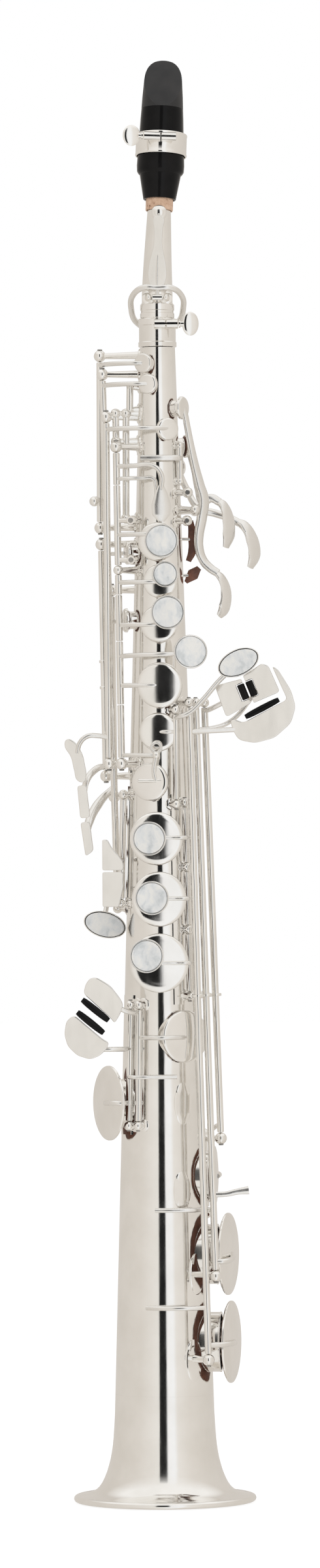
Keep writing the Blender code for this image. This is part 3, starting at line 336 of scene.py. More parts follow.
def makeSilver(name, haze=0.0, tone=1.0):  # plated brass, faint clouding and polishing marks
    material, tree, shader, where = newMaterial(name, {"Metallic": 1.0})
    dull, bright = (tuple(tone * c for c in silverPlate[k]) for k in ("dull", "bright"))
    colourBy(tree, shader, noiseOn(tree, where, 55.0, 5.0), [(0.35, dull), (0.62, bright)])
    rub = noiseOn(tree, where, 240.0, 6.0, stretch=(1.0, 1.0, 0.25))
    low, high = silverPlate["polish"]
    tree.links.new(rangeOn(tree, rub, low + haze, high + haze, 0.3, 0.7), shader.inputs["Roughness"])
    bumpOn(tree, shader, rub, 0.02, 0.0004)
    return material


pearlShell = {"pale": (0.60, 0.605, 0.60), "grey": (0.43, 0.45, 0.45), "cream": (0.68, 0.665, 0.63)}


def makePearl():  # mother of pearl: cloudy bands that drift in colour
    gloss = {"Roughness": 0.28, "Coat Weight": 0.4, "Coat Roughness": 0.08, "Sheen Weight": 0.2}
    material, tree, shader, where = newMaterial("motherOfPearl", gloss)
    warp = addNode(tree, "ShaderNodeTexNoise", {"Scale": 160.0, "Detail": 3.0}, where)
    bend = tree.nodes.new("ShaderNodeVectorMath")
    bend.operation = "MULTIPLY_ADD"
    bend.inputs[1].default_value = (0.006, 0.006, 0.006)
    tree.links.new(warp.outputs["Color"], bend.inputs[0])
    tree.links.new(where, bend.inputs[2])
    bands = noiseOn(tree, bend.outputs["Vector"], 210.0, stretch=(1.0, 1.0, 0.6))
    tones = ((0.30, "grey"), (0.48, "pale"), (0.62, "cream"), (0.78, "pale"))
    colourBy(tree, shader, bands, [(position, pearlShell[tone]) for position, tone in tones])
    bumpOn(tree, shader, bands, 0.05, 0.0002)
    return material


hardRubber = {"black": (0.004, 0.004, 0.0042), "worn": (0.008, 0.0075, 0.0075)}


def makeEbonite(name, gloss, tone=1.0, mirror=0.12):
    material, tree, shader, where = newMaterial(name, {"Specular IOR Level": mirror})
    cloud = noiseOn(tree, where, 90.0, 5.0)
    black, worn = (tuple(c * tone for c in hardRubber[k]) for k in ("black", "worn"))
    colourBy(tree, shader, cloud, [(0.35, black), (0.7, worn)])
    tree.links.new(rangeOn(tree, cloud, gloss, gloss + 0.10, 0.3, 0.7), shader.inputs["Roughness"])
    bumpOn(tree, shader, noiseOn(tree, where, 2500.0, 3.0), 0.06, 0.00006)
    return material


corkBark = {"pale": (0.60, 0.42, 0.30), "mid": (0.48, 0.31, 0.21), "pit": (0.16, 0.08, 0.05)}


def makeCork():
    material, tree, shader, where = newMaterial("corkSheet", {"Roughness": 0.85})
    fleck = noiseOn(tree, where, 420.0, 5.0)
    colourBy(tree, shader, fleck, [(0.30, corkBark["pit"]), (0.38, corkBark["mid"]),
                                   (0.62, corkBark["pale"])])
    bumpOn(tree, shader, cellsOn(tree, where, 1100.0), 0.35, 0.0003)
    return material


reedCane = {"gold": (0.78, 0.62, 0.34), "straw": (0.86, 0.73, 0.47), "fibre": (0.55, 0.40, 0.19)}


def makeCane():
    material, tree, shader, where = newMaterial("reedCane", {"Roughness": 0.55})
    fibre = noiseOn(tree, where, 1800.0, stretch=(1.0, 1.0, 0.03))
    colourBy(tree, shader, fibre, [(0.30, reedCane["fibre"]), (0.48, reedCane["gold"]),
                                   (0.70, reedCane["straw"])])
    bumpOn(tree, shader, fibre, 0.15, 0.0002)
    return material


padSkin = {"brown": (0.19, 0.075, 0.045), "dark": (0.10, 0.04, 0.026)}


def makePadSkin():
    material, tree, shader, where = newMaterial("padSkin", {"Roughness": 0.48})
    colourBy(tree, shader, noiseOn(tree, where, 160.0), [(0.35, padSkin["dark"]), (0.65, padSkin["brown"])])
    bumpOn(tree, shader, cellsOn(tree, where, 2600.0), 0.25, 0.0001)
    return material


screwMetal = {"dark": (0.30, 0.29, 0.28), "bright": (0.46, 0.45, 0.43)}


def makeSteel():
    material, tree, shader, where = newMaterial("screwSteel", {"Metallic": 1.0, "Roughness": 0.28})
    tones = [(0.3, screwMetal["dark"]), (0.7, screwMetal["bright"])]
    colourBy(tree, shader, noiseOn(tree, where, 300.0), tones)
    return material


silver = makeSilver("silverPlate")
touchSilver = makeSilver("touchSilver", 0.16, 0.97)
plateSilver = makeSilver("plateSilver", 0.04, 0.97)
pearlMaterial = makePearl()
shankBlack = makeEbonite("shankBlack", 0.06)
beakBlack = makeEbonite("beakBlack", 0.40, 3.0, 0.4)
rollerBlack = makeEbonite("rollerBlack", 0.16)
cork = makeCork()
cane = makeCane()
padLeather = makePadSkin()
steel = makeSteel()
print("finishes ready")


def finishPiece(parts, name, body, material, nodes=(), sharp=32.0):
    for part in parts:
        if not part.data.materials:
            part.data.materials.append(material)
    piece = joinUp(parts)
    piece.name = piece.data.name = name
    place(piece, Matrix.Scale(mm, 4))
    bpy.ops.object.shade_smooth_by_angle(angle=math.radians(sharp))
    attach(piece, body)
    if nodes:
        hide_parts(*nodes)
    return piece


# screws, modelled once and copied

screwSizes = {"radius": 1.0, "height": 0.5, "slotWidth": 0.28, "slotDepth": 0.22}


def makeScrewMaster():
    r, h = screwSizes["radius"], screwSizes["height"]
    head = lathe([(0, -1.0), (0.8 * r, -1.0), (0.8 * r, 0), (r, 0), (r, 0.6 * h), (0.8 * r, h), (0, h)], 24)
    return cutAway(head, bigBlock((0, 0, h), (3 * r, screwSizes["slotWidth"], 2 * screwSizes["slotDepth"])))


screwMaster = makeScrewMaster()
screws = {}  # body name -> screw heads that ride on it


def addScrew(body, point, direction, size=1.0, turn=30.0):
    matrix = aimAt(point, direction) @ spin(turn, "Z") @ Matrix.Scale(size, 4)
    screws.setdefault(body, []).append(place(copyOf(screwMaster), matrix))


keySizes = {"tube": 1.65, "arm": 1.15, "lever": 1.2, "heavyArm": 1.3, "stopArm": 1.1,
            "cup": 3.2, "smallCup": 2.6, "seatGap": 0.3, "crown": 5.5}


# body tube with its drawn tone holes, posts and feet

bodyTube = {"low": 52.01, "high": 556.5, "wall": 0.8, "steps": 96}
holeSizes = {"height": 2.6, "lap": 1.6, "wall": 0.9, "lip": 0.28}


def frontHole(x, z, cupR, height=holeSizes["height"]):
    azimuth = math.degrees(math.asin(x / (coneAt(z) + holeSizes["height"])))
    return {"z": z, "azimuth": azimuth, "cupR": cupR, "height": height, "lap": holeSizes["lap"]}


def sideHole(z, azimuth, cupR, height=holeSizes["height"], lap=holeSizes["lap"]):
    return {"z": z, "azimuth": azimuth, "cupR": cupR, "height": height, "lap": lap}


toneHoles = {
    "highG": frontHole(-6.1, 548.6, 4.9), "highFs": frontHole(-4.3, 538.5, 4.9),
    "palmF": sideHole(527.1, 62, 5.5),
    "highE": frontHole(4.1, 516.7, 5.5), "palmEb": sideHole(509.0, 105, 5.5),
    "palmD": sideHole(499.0, 142, 5.5),
    "b": frontHole(0.0, 462.3, 9.4), "sideC": sideHole(457.5, -80, 5.6), "bis": frontHole(1.1, 443.3, 8.2),
    "sideBb": sideHole(425.0, -80, 5.8), "a": frontHole(0.6, 422.8, 9.1), "g": frontHole(0.6, 393.4, 11.0),
    "gs": frontHole(-0.7, 371.0, 9.3, 2.2), "fs": frontHole(-4.2, 347.0, 9.2),
    "sideFs": sideHole(331.0, -132, 5.4),
    "f": frontHole(-2.6, 319.8, 12.8), "e": frontHole(-1.6, 290.7, 13.2), "d": frontHole(-1.8, 260.1, 14.2),
    "lowEb": sideHole(224.7, 30, 12.6), "lowC": sideHole(192.4, -76, 18.0, 3.8, 6.5),
    "lowCs": sideHole(156.7, 85, 15.0, holeSizes["height"], 2.6),
    "lowB": sideHole(119.1, 85, 19.8, 5.0, 5.4), "lowBb": sideHole(76.8, 85, 19.8, 5.0, 5.4),
}


def holeFrame(hole, rise):  # a point on the hole's axis, raised over the body
    return facing(hole["azimuth"]) * (coneAt(hole["z"]) + rise) + up * hole["z"]


def chimneyRing(hole):
    outer = hole["cupR"] - hole["lap"]
    inner, h, lip = outer - holeSizes["wall"], hole["height"], holeSizes["lip"]
    sink = 0.5 * outer * outer / coneAt(hole["z"]) + 1.0
    profile = [(inner, -sink), (outer, -sink), (outer, h - 0.9), (outer + 0.5 * lip, h - 0.7),
               (outer + 0.8 * lip, h - 0.4),
               (outer + 0.5 * lip, h - 0.1), (outer, h), (inner + 0.3, h), (inner, h - 0.25)]
    return discOn(holeFrame(hole, 0), facing(hole["azimuth"]), profile + [profile[0]], 48)


def makeBodyShell():
    low, high, wall = bodyTube["low"], bodyTube["high"], bodyTube["wall"]
    steps = [low + (high - low) * i / 24 for i in range(25)]
    outer = [(coneAt(z), z) for z in steps]
    inner = [(coneAt(z) - wall, z) for z in reversed(steps)]
    shell = lathe(outer + inner, bodyTube["steps"], ring=True)
    for hole in toneHoles.values():
        inside = hole["cupR"] - hole["lap"] - holeSizes["wall"]
        start, end = holeFrame(hole, -0.7 * coneAt(hole["z"])), holeFrame(hole, hole["height"] + 1)
        cutAway(shell, tubeBetween(start, end, inside, 48))
    return shell


postSizes = {"ball": 2.9, "smallBall": 2.35, "neck": 1.4, "root": 1.85, "foot": 3.2, "footHeight": 0.7}


def ballPost(centre, foot, ballR):
    length = (centre - foot).length
    neck, root, flange, high = (postSizes[k] for k in ("neck", "root", "foot", "footHeight"))
    flange = min(flange, 0.45 * length + 1.4)
    shoulder = max(length - ballR * 0.9, high + 0.4)
    profile = [(0, -0.8), (flange, -0.8), (flange, 0.45 * high), (flange - 0.25, 0.75 * high),
               (root + 0.35, high)]
    profile += [(root, high + 0.15), (0.5 * (root + neck), 0.5 * (high + shoulder)), (neck, shoulder - 0.1)]
    start = math.degrees(math.asin(min(neck / ballR, 0.9)))
    angles = [start + (180 - start) * i / 10 for i in range(11)]
    profile += [(ballR * math.sin(math.radians(a)),
                 length - ballR * math.cos(math.radians(a))) for a in angles]
    return discOn(foot, centre - foot, profile, 28)


posts = [  # joint, height, ball, end with a screw (1 top, -1 bottom, 0 none), azimuth of a foot set aside
    ("b_swing", 355.8, "ball", -1), ("b_swing", 449.0, "smallBall", 0), ("b_swing", 508.5, "ball", 1),
    ("high_e_swing", 355.8, "ball", -1), ("high_e_swing", 523.0, "ball", 1),
    ("high_fs_swing", 286.0, "smallBall", 0), ("high_fs_swing", 543.8, "ball", 1),
    ("high_g_swing", 470.0, "ball", -1), ("high_g_swing", 553.0, "ball", 1),
    ("side_c_swing", 350.0, "ball", -1), ("side_c_swing", 462.0, "ball", 1),
    ("side_bb_swing", 340.0, "ball", -1), ("side_bb_swing", 440.0, "ball", 1),
    ("side_fs_swing", 288.5, "smallBall", 0), ("side_fs_swing", 341.0, "smallBall", 0),
    ("gs_swing", 336.2, "smallBall", -1), ("gs_swing", 381.6, "smallBall", 1),
    ("f_swing", 244.0, "smallBall", -1), ("f_swing", 276.0, "smallBall", 0),
    ("f_swing", 306.0, "smallBall", 0), ("f_swing", 337.0, "smallBall", 1),
    ("low_bb_swing", 70.0, "ball", -1), ("low_bb_swing", 385.0, "smallBall", 1),
    ("low_b_swing", 110.0, "ball", -1, 66), ("low_b_swing", 385.0, "smallBall", 1),
    ("low_cs_lever_swing", 175.0, "ball", -1), ("low_cs_lever_swing", 385.0, "smallBall", 1),
    ("low_cs_cup_swing", 138.0, "ball", 0), ("low_cs_cup_swing", 176.0, "ball", 0),
    ("low_c_swing", 182.0, "smallBall", -1), ("low_c_swing", 240.0, "smallBall", 1),
    ("low_eb_swing", 182.0, "smallBall", -1), ("low_eb_swing", 240.0, "smallBall", 0),
]
crossPosts = {  # two posts at the ends of a hinge that runs across the body
    "palm": {"centre": Vector((17.5, 3.0, 478.0)), "half": Vector((0, 12.2, 0))},
    "octave": {"centre": spot(535, 180, 4.0), "half": Vector((5.5, 0, 0))},
    "screwOff": 1.8, "screwSize": 0.85, "screwTurn": 20,
}


def crossPost(centre, way, foot):
    addScrew("body", centre + way.normalized() * crossPosts["screwOff"], way, crossPosts["screwSize"],
             crossPosts["screwTurn"])
    return ballPost(centre, foot, postSizes["smallBall"])


def makePosts():
    made = []
    for jointName, z, ballName, way, *aside in posts:
        centre, ballR = onHinge(jointName, z), postSizes[ballName]
        made.append(ballPost(centre, spot(z, aside[0] if aside else azimuthOf(centre), 0), ballR))
        if way:
            axis = hingeOf(jointName)[1] * way
            addScrew("body", centre + axis * (ballR - 0.2), axis, 0.42 * ballR, z)
    for side in (-1, 1):
        way = crossPosts["palm"]["half"] * side
        centre = crossPosts["palm"]["centre"] + way
        made.append(crossPost(centre, way, spot(centre.z, azimuthOf(centre), 0)))
    for side in (-1, 1):
        way = crossPosts["octave"]["half"] * side
        centre = crossPosts["octave"]["centre"] + way
        foot = Vector((way.x, math.sqrt(coneAt(centre.z) ** 2 - way.x ** 2), centre.z))
        made.append(crossPost(centre, way, foot))
    return made


ribs = [  # strips that the post feet are soldered to: azimuths, then heights
    {"azimuth": (33, 47), "z": (240, 341)}, {"azimuth": (-48, -22), "z": (177.5, 244.5)},
    {"azimuth": (-82, -68), "z": (284, 345)}, {"azimuth": (-76, -46), "z": (351.5, 360.5)},
    {"azimuth": (-110, -58), "z": (505, 512.5)}, {"azimuth": (122, 138), "z": (134, 180)},
    {"azimuth": (-132, -104), "z": (336, 354)},
]
ribThick = 0.9


def makeRib(rib):  # a strip of the cone, spun through a small angle and given its thickness
    (first, last), (low, high) = rib["azimuth"], rib["z"]
    count = 6
    heights = [low + (high - low) * i / count for i in range(count + 1)]
    outline = [(coneAt(z) - 0.25, z) for z in heights]
    outline += [(coneAt(z) + ribThick, z) for z in reversed(heights)]
    lathe(outline, 14, ring=True, angle=last - first)
    bpy.ops.object.mode_set(mode="EDIT")
    bpy.ops.mesh.select_all(action="DESELECT")
    bpy.ops.mesh.select_non_manifold()
    bpy.ops.mesh.edge_face_add()
    return place(cleanUp(), spin(first - 90, "Z"))


footPlates = [  # oval feet of the long rods' posts: centre and half sizes across and along
    {"z": 192.4, "azimuth": 30, "half": (4.6, 10.2)}, {"z": 150.4, "azimuth": 26, "half": (4.4, 9.6)},
    {"z": 110.3, "azimuth": 46, "half": (4.6, 10.0)}, {"z": 69.0, "azimuth": 38, "half": (4.6, 10.2)},
]


def ovalFoot(plate):  # the disc's own X runs across the body and its Y along it
    wide, tall = plate["half"]
    disc = lathe([(0, -1.2), (1.0, -1.2), (1.0, 0.25), (0.93, 0.55), (0.6, 0.7), (0, 0.75)], 44)
    matrix = aimAt(spot(plate["z"], plate["azimuth"], 0), facing(plate["azimuth"]))
    return place(disc, matrix @ Matrix.Diagonal((wide, tall, 1, 1)))


rodGuide = {"z": 244.3, "inner": 1.9, "outer": 2.9, "thick": 1.3}


def makeRodGuide():  # a loop on a short post for each of the three long rods
    loops, stands = [], []
    for jointName in ("low_bb_swing", "low_b_swing", "low_cs_lever_swing"):
        centre, axis = onHinge(jointName, rodGuide["z"]), hingeOf(jointName)[1]
        half, inner, outer = rodGuide["thick"] / 2, rodGuide["inner"], rodGuide["outer"]
        loop = [(inner, -half), (outer - 0.2, -half), (outer, -half + 0.2), (outer, half - 0.2),
                (outer - 0.2, half),
                (inner, half)]
        loops.append(place(lathe(loop, 32, ring=True), aimAt(centre, axis)))
        inward = Vector((-centre.x, -centre.y, 0)).normalized()
        top = centre + inward * (outer + 0.1)
        stands.append(ballPost(top, spot(rodGuide["z"], azimuthOf(top), 0), 1.0))
    return loops + stands


upperRods = [  # lower and upper end of fixed rods between two ball posts, and the ball
    {"ends": ((-20.25, -5.0, 511.2), (-20.4, -4.6, 524.6)), "ball": 2.5},
    {"ends": ((-15.7, -4.8, 474.0), (-15.4, -4.4, 524.6)), "ball": 2.5},
    {"ends": ((10.4, -6.4, 491.7), (10.4, -6.0, 509.0)), "ball": 2.0},
    {"ends": ((-13.6, -4.2, 526.5), (-13.4, -4.0, 537.5)), "ball": 1.7},
]
palmBar = {"z": 502.8, "points": ((10.4, -7.4), (9.0, -11.6), (4.0, -13.4), (-2.5, -13.9), (-8.5, -13.7))}

palmPosts = {"ball": 2.6, "centres": [(14.0, -9.6, 486.2), (13.6, -9.6, 472.6)]}  # screws face the front


def standingPost(centre, ballR):
    return ballPost(centre, spot(centre.z, azimuthOf(centre), 0), ballR)


def makeUpperRods():
    made = []
    for point in palmPosts["centres"]:
        centre = Vector(point)
        made.append(standingPost(centre, palmPosts["ball"]))
        addScrew("body", centre + Vector((0, -2.4, 0)), (0, -1, 0), 1.2, centre.z)
    for rod in upperRods:
        low, high = (Vector(point) for point in rod["ends"])
        made.append(tubeBetween(low, high, keySizes["tube"], 28))
        made += [standingPost(point, rod["ball"]) for point in (low, high)]
    points = [(x, y, palmBar["z"]) for x, y in palmBar["points"]]
    made.append(strap(points, [1.4] * len(points), (0, 1, 0), 0.55))
    return made


bodyPieces = [makeBodyShell()] + [chimneyRing(hole) for hole in toneHoles.values()] + makePosts()
bodyPieces += [makeRib(rib) for rib in ribs] + [ovalFoot(plate) for plate in footPlates]
bodyPieces += makeRodGuide() + makeUpperRods()
finishPiece(bodyPieces, "bodyTubeDressed", "body", silver, ["body_tube"])
print("body tube, tone holes and posts done")


# bell

bellSizes = {"rim": 44.0, "roll": 1.55, "joint": 52.0, "wall": 0.8, "steps": 128}


def makeBell():
    rim, roll, joint, wall = (bellSizes[k] for k in ("rim", "roll", "joint", "wall"))
    flare = [(coneAt(joint), joint), (24.0, 43.0), (24.35, 36.5), (24.8, 30.3), (25.15, 27.0), (25.6, 24.0),
             (26.2, 20.8),
             (27.0, 17.7), (28.0, 14.4), (29.2, 11.4), (30.4, 9.0), (31.9, 6.9), (33.6, 5.4), (35.5, 4.5),
             (37.5, 3.85),
             (39.5, 3.45), (41.2, 3.2)]
    bead = [(rim - roll + roll * math.sin(math.radians(a)),
             roll + roll * math.cos(math.radians(a))) for a in range(-20, 200, 20)]
    inner = [(rim - 2.9, 0.4), (41.0, 1.7)]
    inner += [(r - 0.25 * wall, z - wall) for r, z in reversed(flare[13:16])]
    inner += [(r - 0.8 * wall, z - 0.6 * wall) for r, z in reversed(flare[7:13])]
    inner += [(r - wall, z) for r, z in reversed(flare[1:7])] + [(coneAt(joint) - wall, joint)]
    return lathe(flare + bead + inner, bellSizes["steps"], ring=True)


finishPiece([makeBell()], "bellDressed", "body", silver, ["bell"])
print("bell done")


# key work: cups with their pads, hinge tubes, arms, plates and pearls

openings = {"upper": -6.0, "lower": 7.0, "lowC": 10.0, "lowB": -9.0, "lowBb": -8.0}
smallCups = ("highG", "highFs", "highE", "palmF", "palmEb", "palmD", "sideC", "sideBb", "sideFs", "lowEb")
cupHeights = {"bis": 2.4, "gs": 2.8, **{name: keySizes["smallCup"] for name in smallCups}}


def cupHeight(name):
    return cupHeights.get(name, keySizes["cup"])


def seatOf(name, lift=0.0):
    hole = toneHoles[name]
    return holeFrame(hole, hole["height"] + keySizes["seatGap"] + lift)


def onCup(name, lift, aside, rise):
    return seatOf(name, lift) + facing(toneHoles[name]["azimuth"] + 90) * aside + up * rise


def roundBody(start, end, bulge=0.0, count=5):  # points of an arm that runs round the body
    first, last = azimuthOf(start), azimuthOf(end)
    near, far = math.hypot(start.x, start.y), math.hypot(end.x, end.y)
    points = []
    for i in range(count + 1):
        t = i / count
        reach = near + (far - near) * t + bulge * math.sin(math.pi * t)
        points.append(facing(first + (last - first) * t) * reach + up * (start.z + (end.z - start.z) * t))
    return points


def cupOn(name):
    hole, h = toneHoles[name], cupHeight(name)
    r = hole["cupR"]
    crown = keySizes["crown"] * r
    profile = [(t * r, h - (t * r) ** 2 / (2 * crown)) for t in (0, 0.12, 0.24, 0.36, 0.48, 0.6, 0.7, 0.78)]
    shoulder, drop = 0.22 * r, profile[-1][1] - 0.36 * h
    bends = (0.5, 0.8, 1.1, 1.35, math.pi / 2)
    profile += [(r - shoulder * (1 - math.sin(a)), 0.36 * h + drop * math.cos(a)) for a in bends]
    profile += [(r, 0.16 * h)]
    profile += [(r - 0.1, 0.12 * h), (r - 0.5, 0.12 * h), (r - 0.5, 0.3 * h), (0, 0.3 * h)]
    return discOn(seatOf(name), facing(hole["azimuth"]), profile, 56)


def padOn(name):
    hole, h = toneHoles[name], cupHeight(name)
    r = hole["cupR"] - 0.55
    profile = [(0, 0.29 * h), (r, 0.29 * h), (r, 0.08 * h), (r - 0.3, 0), (0.3 * r, 0), (0, 0.02)]
    return discOn(seatOf(name), facing(hole["azimuth"]), profile, 48)


def hingeTube(jointName, low, high, radius=keySizes["tube"]):
    return tubeBetween(onHinge(jointName, low), onHinge(jointName, high), radius, 28)


def cupArm(jointName, z, name, bulge=0.0, radius=keySizes["arm"]):
    top = seatOf(name, 0.55 * cupHeight(name))
    return bendWire(roundBody(onHinge(jointName, z), Vector((top.x, top.y, z)), bulge), radius)


def pathOf(jointName, path):  # a plain number in a path is a height on the hinge line
    return [onHinge(jointName, point) if isinstance(point, (int, float)) else point for point in path]


def keyWire(jointName, path, radius):
    return bendWire(pathOf(jointName, path), radius)


def overArm(jointName, path, name):  # from the hinge over the edge of a large cup
    return keyWire(jointName, path + [seatOf(name, 0.85 * cupHeight(name))], keySizes["heavyArm"])


def softCorners(outline, radii, count=5):
    soft = []
    for i, (corner, radius) in enumerate(zip(outline, radii)):
        here = Vector(corner)
        before, after = Vector(outline[i - 1]), Vector(outline[(i + 1) % len(outline)])
        first = here + (before - here).normalized() * radius
        last = here + (after - here).normalized() * radius
        for step in range(count + 1):
            t = step / count
            soft.append(tuple(first * (1 - t) ** 2 + here * 2 * t * (1 - t) + last * t ** 2))
    return soft


def evenCorners(outline, radius):  # one radius for all corners, less of it where a side is short
    sides = [0.45 * (Vector(corner) - Vector(outline[i - 1])).length for i, corner in enumerate(outline)]
    return softCorners(outline, [min(radius, a, b) for a, b in zip(sides, sides[1:] + sides[:1])])


def softPlate(outline, frontY, radius):
    return plateAt(evenCorners(outline, radius), frontY, curved=False)


pearlSizes = {"large": 7.2, "small": 5.3, "gap": 0.1, "wall": 0.85, "holder": 2.4, "recess": 1.0,
              "height": 1.7,
              "plate": (10.4, 6.3), "oval": (9.5, 5.5), "plateThick": 1.8}


def pearlHolder(centre, direction, pearlR):
    recess, high = pearlR + pearlSizes["gap"], pearlSizes["holder"]
    outer, floor = recess + pearlSizes["wall"], high - pearlSizes["recess"]
    bead = 0.5 * pearlSizes["wall"]
    profile = [(0, floor), (recess, floor)]
    profile += [(recess + bead - bead * math.cos(a),
                 high - bead + bead * math.sin(a)) for a in (0, 0.5, 1.0, 1.57, 2.1, 2.6, 3.14)]
    profile += [(outer, 0.55 * high), (0.95 * outer, 0.38 * high)]
    profile += [(0.8 * outer, 0.14 * high), (0.6 * outer, 0), (0, 0)]
    return discOn(centre, direction, profile, 56)


def pearlDisc(centre, direction, pearlR):
    base, h = pearlSizes["holder"] - pearlSizes["recess"] + 0.3, pearlSizes["height"]
    profile = [(0, base + h - 0.35), (0.3 * pearlR, base + h - 0.31), (0.55 * pearlR, base + h - 0.2)]
    profile += [(0.78 * pearlR, base + h - 0.04), (0.88 * pearlR, base + h),
                (0.95 * pearlR, base + h - 0.1)]
    profile += [(0.99 * pearlR, base + h - 0.3), (pearlR, base + h - 0.5), (pearlR, base), (0, base)]
    return discOn(centre, direction, profile, 56)


def ovalOutline(halfLong, halfShort, count=24):
    turns = [2 * math.pi * i / count for i in range(count)]
    return [(halfLong * math.cos(t), halfShort * math.sin(t)) for t in turns]


def ovalTouch(centre, degrees):  # the metal plate and the pearl on it
    tilt = Matrix.Translation(centre) @ spin(degrees, "Y")
    thick = pearlSizes["plateThick"]
    plate = place(cutPlate(ovalOutline(*pearlSizes["plate"]), thick, 0.4), tilt)
    shell = place(cutPlate(ovalOutline(*pearlSizes["oval"]), pearlSizes["height"], 0.6),
                  Matrix.Translation((0, -thick - 0.3, 0)) @ tilt)
    return plate, shell


def camelName(name):
    first, *rest = name.split("_")
    return first + "".join(word.capitalize() for word in rest)


def dressKey(key, swung, opening=0.0, steady=(), cup=None, pearl=None, node=None, joint=None):
    node, turn = node or key + "_key", swingOn(joint or key + "_swing", opening)
    if cup:
        swung, pad = swung + [cupOn(cup)], padOn(cup)
    if isinstance(pearl, tuple):  # centre, direction and radius of a round one
        pearl = pearlDisc(*pearl)
    parts = list(steady) + [place(part, turn) for part in swung]
    finishPiece(parts, camelName(node), node, silver, [node])
    if cup:
        finishPiece([place(pad, turn)], camelName(node) + "Pad", node, padLeather)
    if pearl:
        pearlNode = key + "_pearl"
        finishPiece([place(pearl, turn)], camelName(pearlNode), node, pearlMaterial, [pearlNode])


def makeReachKey(key, hole, sizes, extras, pearl=None):  # a key with one lever to its touch
    joint = key + "_swing"
    parts = [hingeTube(joint, *sizes["tube"], sizes.get("tubeR", keySizes["tube"])),
             keyWire(joint, sizes["reach"], keySizes[sizes["wire"]]),
             cupArm(joint, sizes["armZ"], hole, sizes.get("bulge", 0.0),
                    sizes.get("armR", keySizes["arm"]))]
    dressKey(key, parts + extras, cup=hole, pearl=pearl)


# upper stack

frontF = {"tube": (490.2, 505.5), "linkR": 1.0, "dropX": 1.3, "dropY": -17.4, "dropFlat": 0.26,
          "dropZ": (489.4, 485.5, 480, 475.5, 472), "dropR": [1.3, 3.2, 4.8, 4.5, 1.6],
          "arm": [499.0, (-12, -14.6, 499), (-3, -17.2, 499), (1.3, -17.6, 495), (1.3, -16.9, 487)],
          "link": [493, (-16, -13.2, 493), (-8, -14.8, 493), (-2.4, -15.2, 492.6), (-1.2, -15.2, 489),
                   (-1, -15.0, 484)]}


def makeFrontF():
    joint = "front_f_swing"
    spine = [(frontF["dropX"], frontF["dropY"], z) for z in frontF["dropZ"]]
    dressKey("front_f", [hingeTube(joint, *frontF["tube"]), keyWire(joint, frontF["arm"], keySizes["arm"]),
                         strap(spine, frontF["dropR"], facing(9), frontF["dropFlat"]),
                         keyWire(joint, frontF["link"], frontF["linkR"])])


stackKeys = {
    "b": {"tube": (451.5, 489.8), "armZ": 466.0, "pearl": (2.4, 2.3, 0.3), "size": "large"},
    "bis": {"tube": (437.3, 446.6), "armZ": 443.0, "pearl": (1.7, 2.5, 3.3), "size": "small"},
    "a": {"tube": (415.0, 436.9), "armZ": 422.5, "pearl": (4.2, 4.4, 5.4), "size": "large"},
}
aStem = {"low": (1.6, 2.6, 3.2), "high": (5.0, 2.6, 3.2), "r": 2.2}  # carries the A pearl over its cup


screwHolders = {"x": -12.8, "y": -12.6, "z": (472.8, 453.8), "r": 2.3}


def screwHolder(start, centre):  # a short arm, a round block and the slotted screw in it
    r, outward = screwHolders["r"], facing(-14)
    block = discOn(centre, outward, [(0, -2.2), (r, -2.2), (r, 0.6), (r - 0.3, 1.0), (0, 1.0)], 32)
    screw = place(copyOf(screwMaster), aimAt(centre + outward * 0.9, outward) @ Matrix.Scale(1.2, 4))
    screw.data.materials.append(steel)
    return [tubeBetween(start, centre, 1.2), block, screw]


def makeStackKey(name):
    sizes, joint = stackKeys[name], name + "_swing"
    direction, pearlR = facing(toneHoles[name]["azimuth"]), pearlSizes[sizes["size"]]
    centre = onCup(name, *sizes["pearl"])
    parts = [hingeTube(joint, *sizes["tube"]), cupArm(joint, sizes["armZ"], name),
             pearlHolder(centre, direction, pearlR)]
    if name == "a":
        parts.append(tubeBetween(onCup("a", *aStem["low"]), onCup("a", *aStem["high"]), aStem["r"]))
    if name == "b":
        for z in screwHolders["z"]:
            parts += screwHolder(onHinge(joint, z), Vector((screwHolders["x"], screwHolders["y"], z)))
    dressKey(name, parts, openings["upper"], cup=name, pearl=(centre, direction, pearlR))


gTouch = {"centre": (15.4, -17.8, 409.2), "azimuth": 14.0, "tube": (384.4, 414.6), "armZ": 407.5,
          "cupZ": 393.4,
          "armEnd": (-1, 0.9, -0.7)}


def makeG():
    centre, direction, pearlR = Vector(gTouch["centre"]), facing(gTouch["azimuth"]), pearlSizes["large"]
    around = roundBody(onHinge("g_swing", gTouch["armZ"]), centre + Vector(gTouch["armEnd"]), -0.6)
    parts = [hingeTube("g_swing", *gTouch["tube"]), cupArm("g_swing", gTouch["cupZ"], "g"),
             bendWire(around, keySizes["arm"]), pearlHolder(centre, direction, pearlR)]
    dressKey("g", parts, openings["upper"], cup="g", pearl=(centre, direction, pearlR))


fsLink = {"tube": (358.8, 384.0), "armZ": 359.9, "knob": (-1.1, -1.4, 359.8), "knobR": 1.9, "ringR": 2.3,
          "cross": (-5.2, 6.4)}


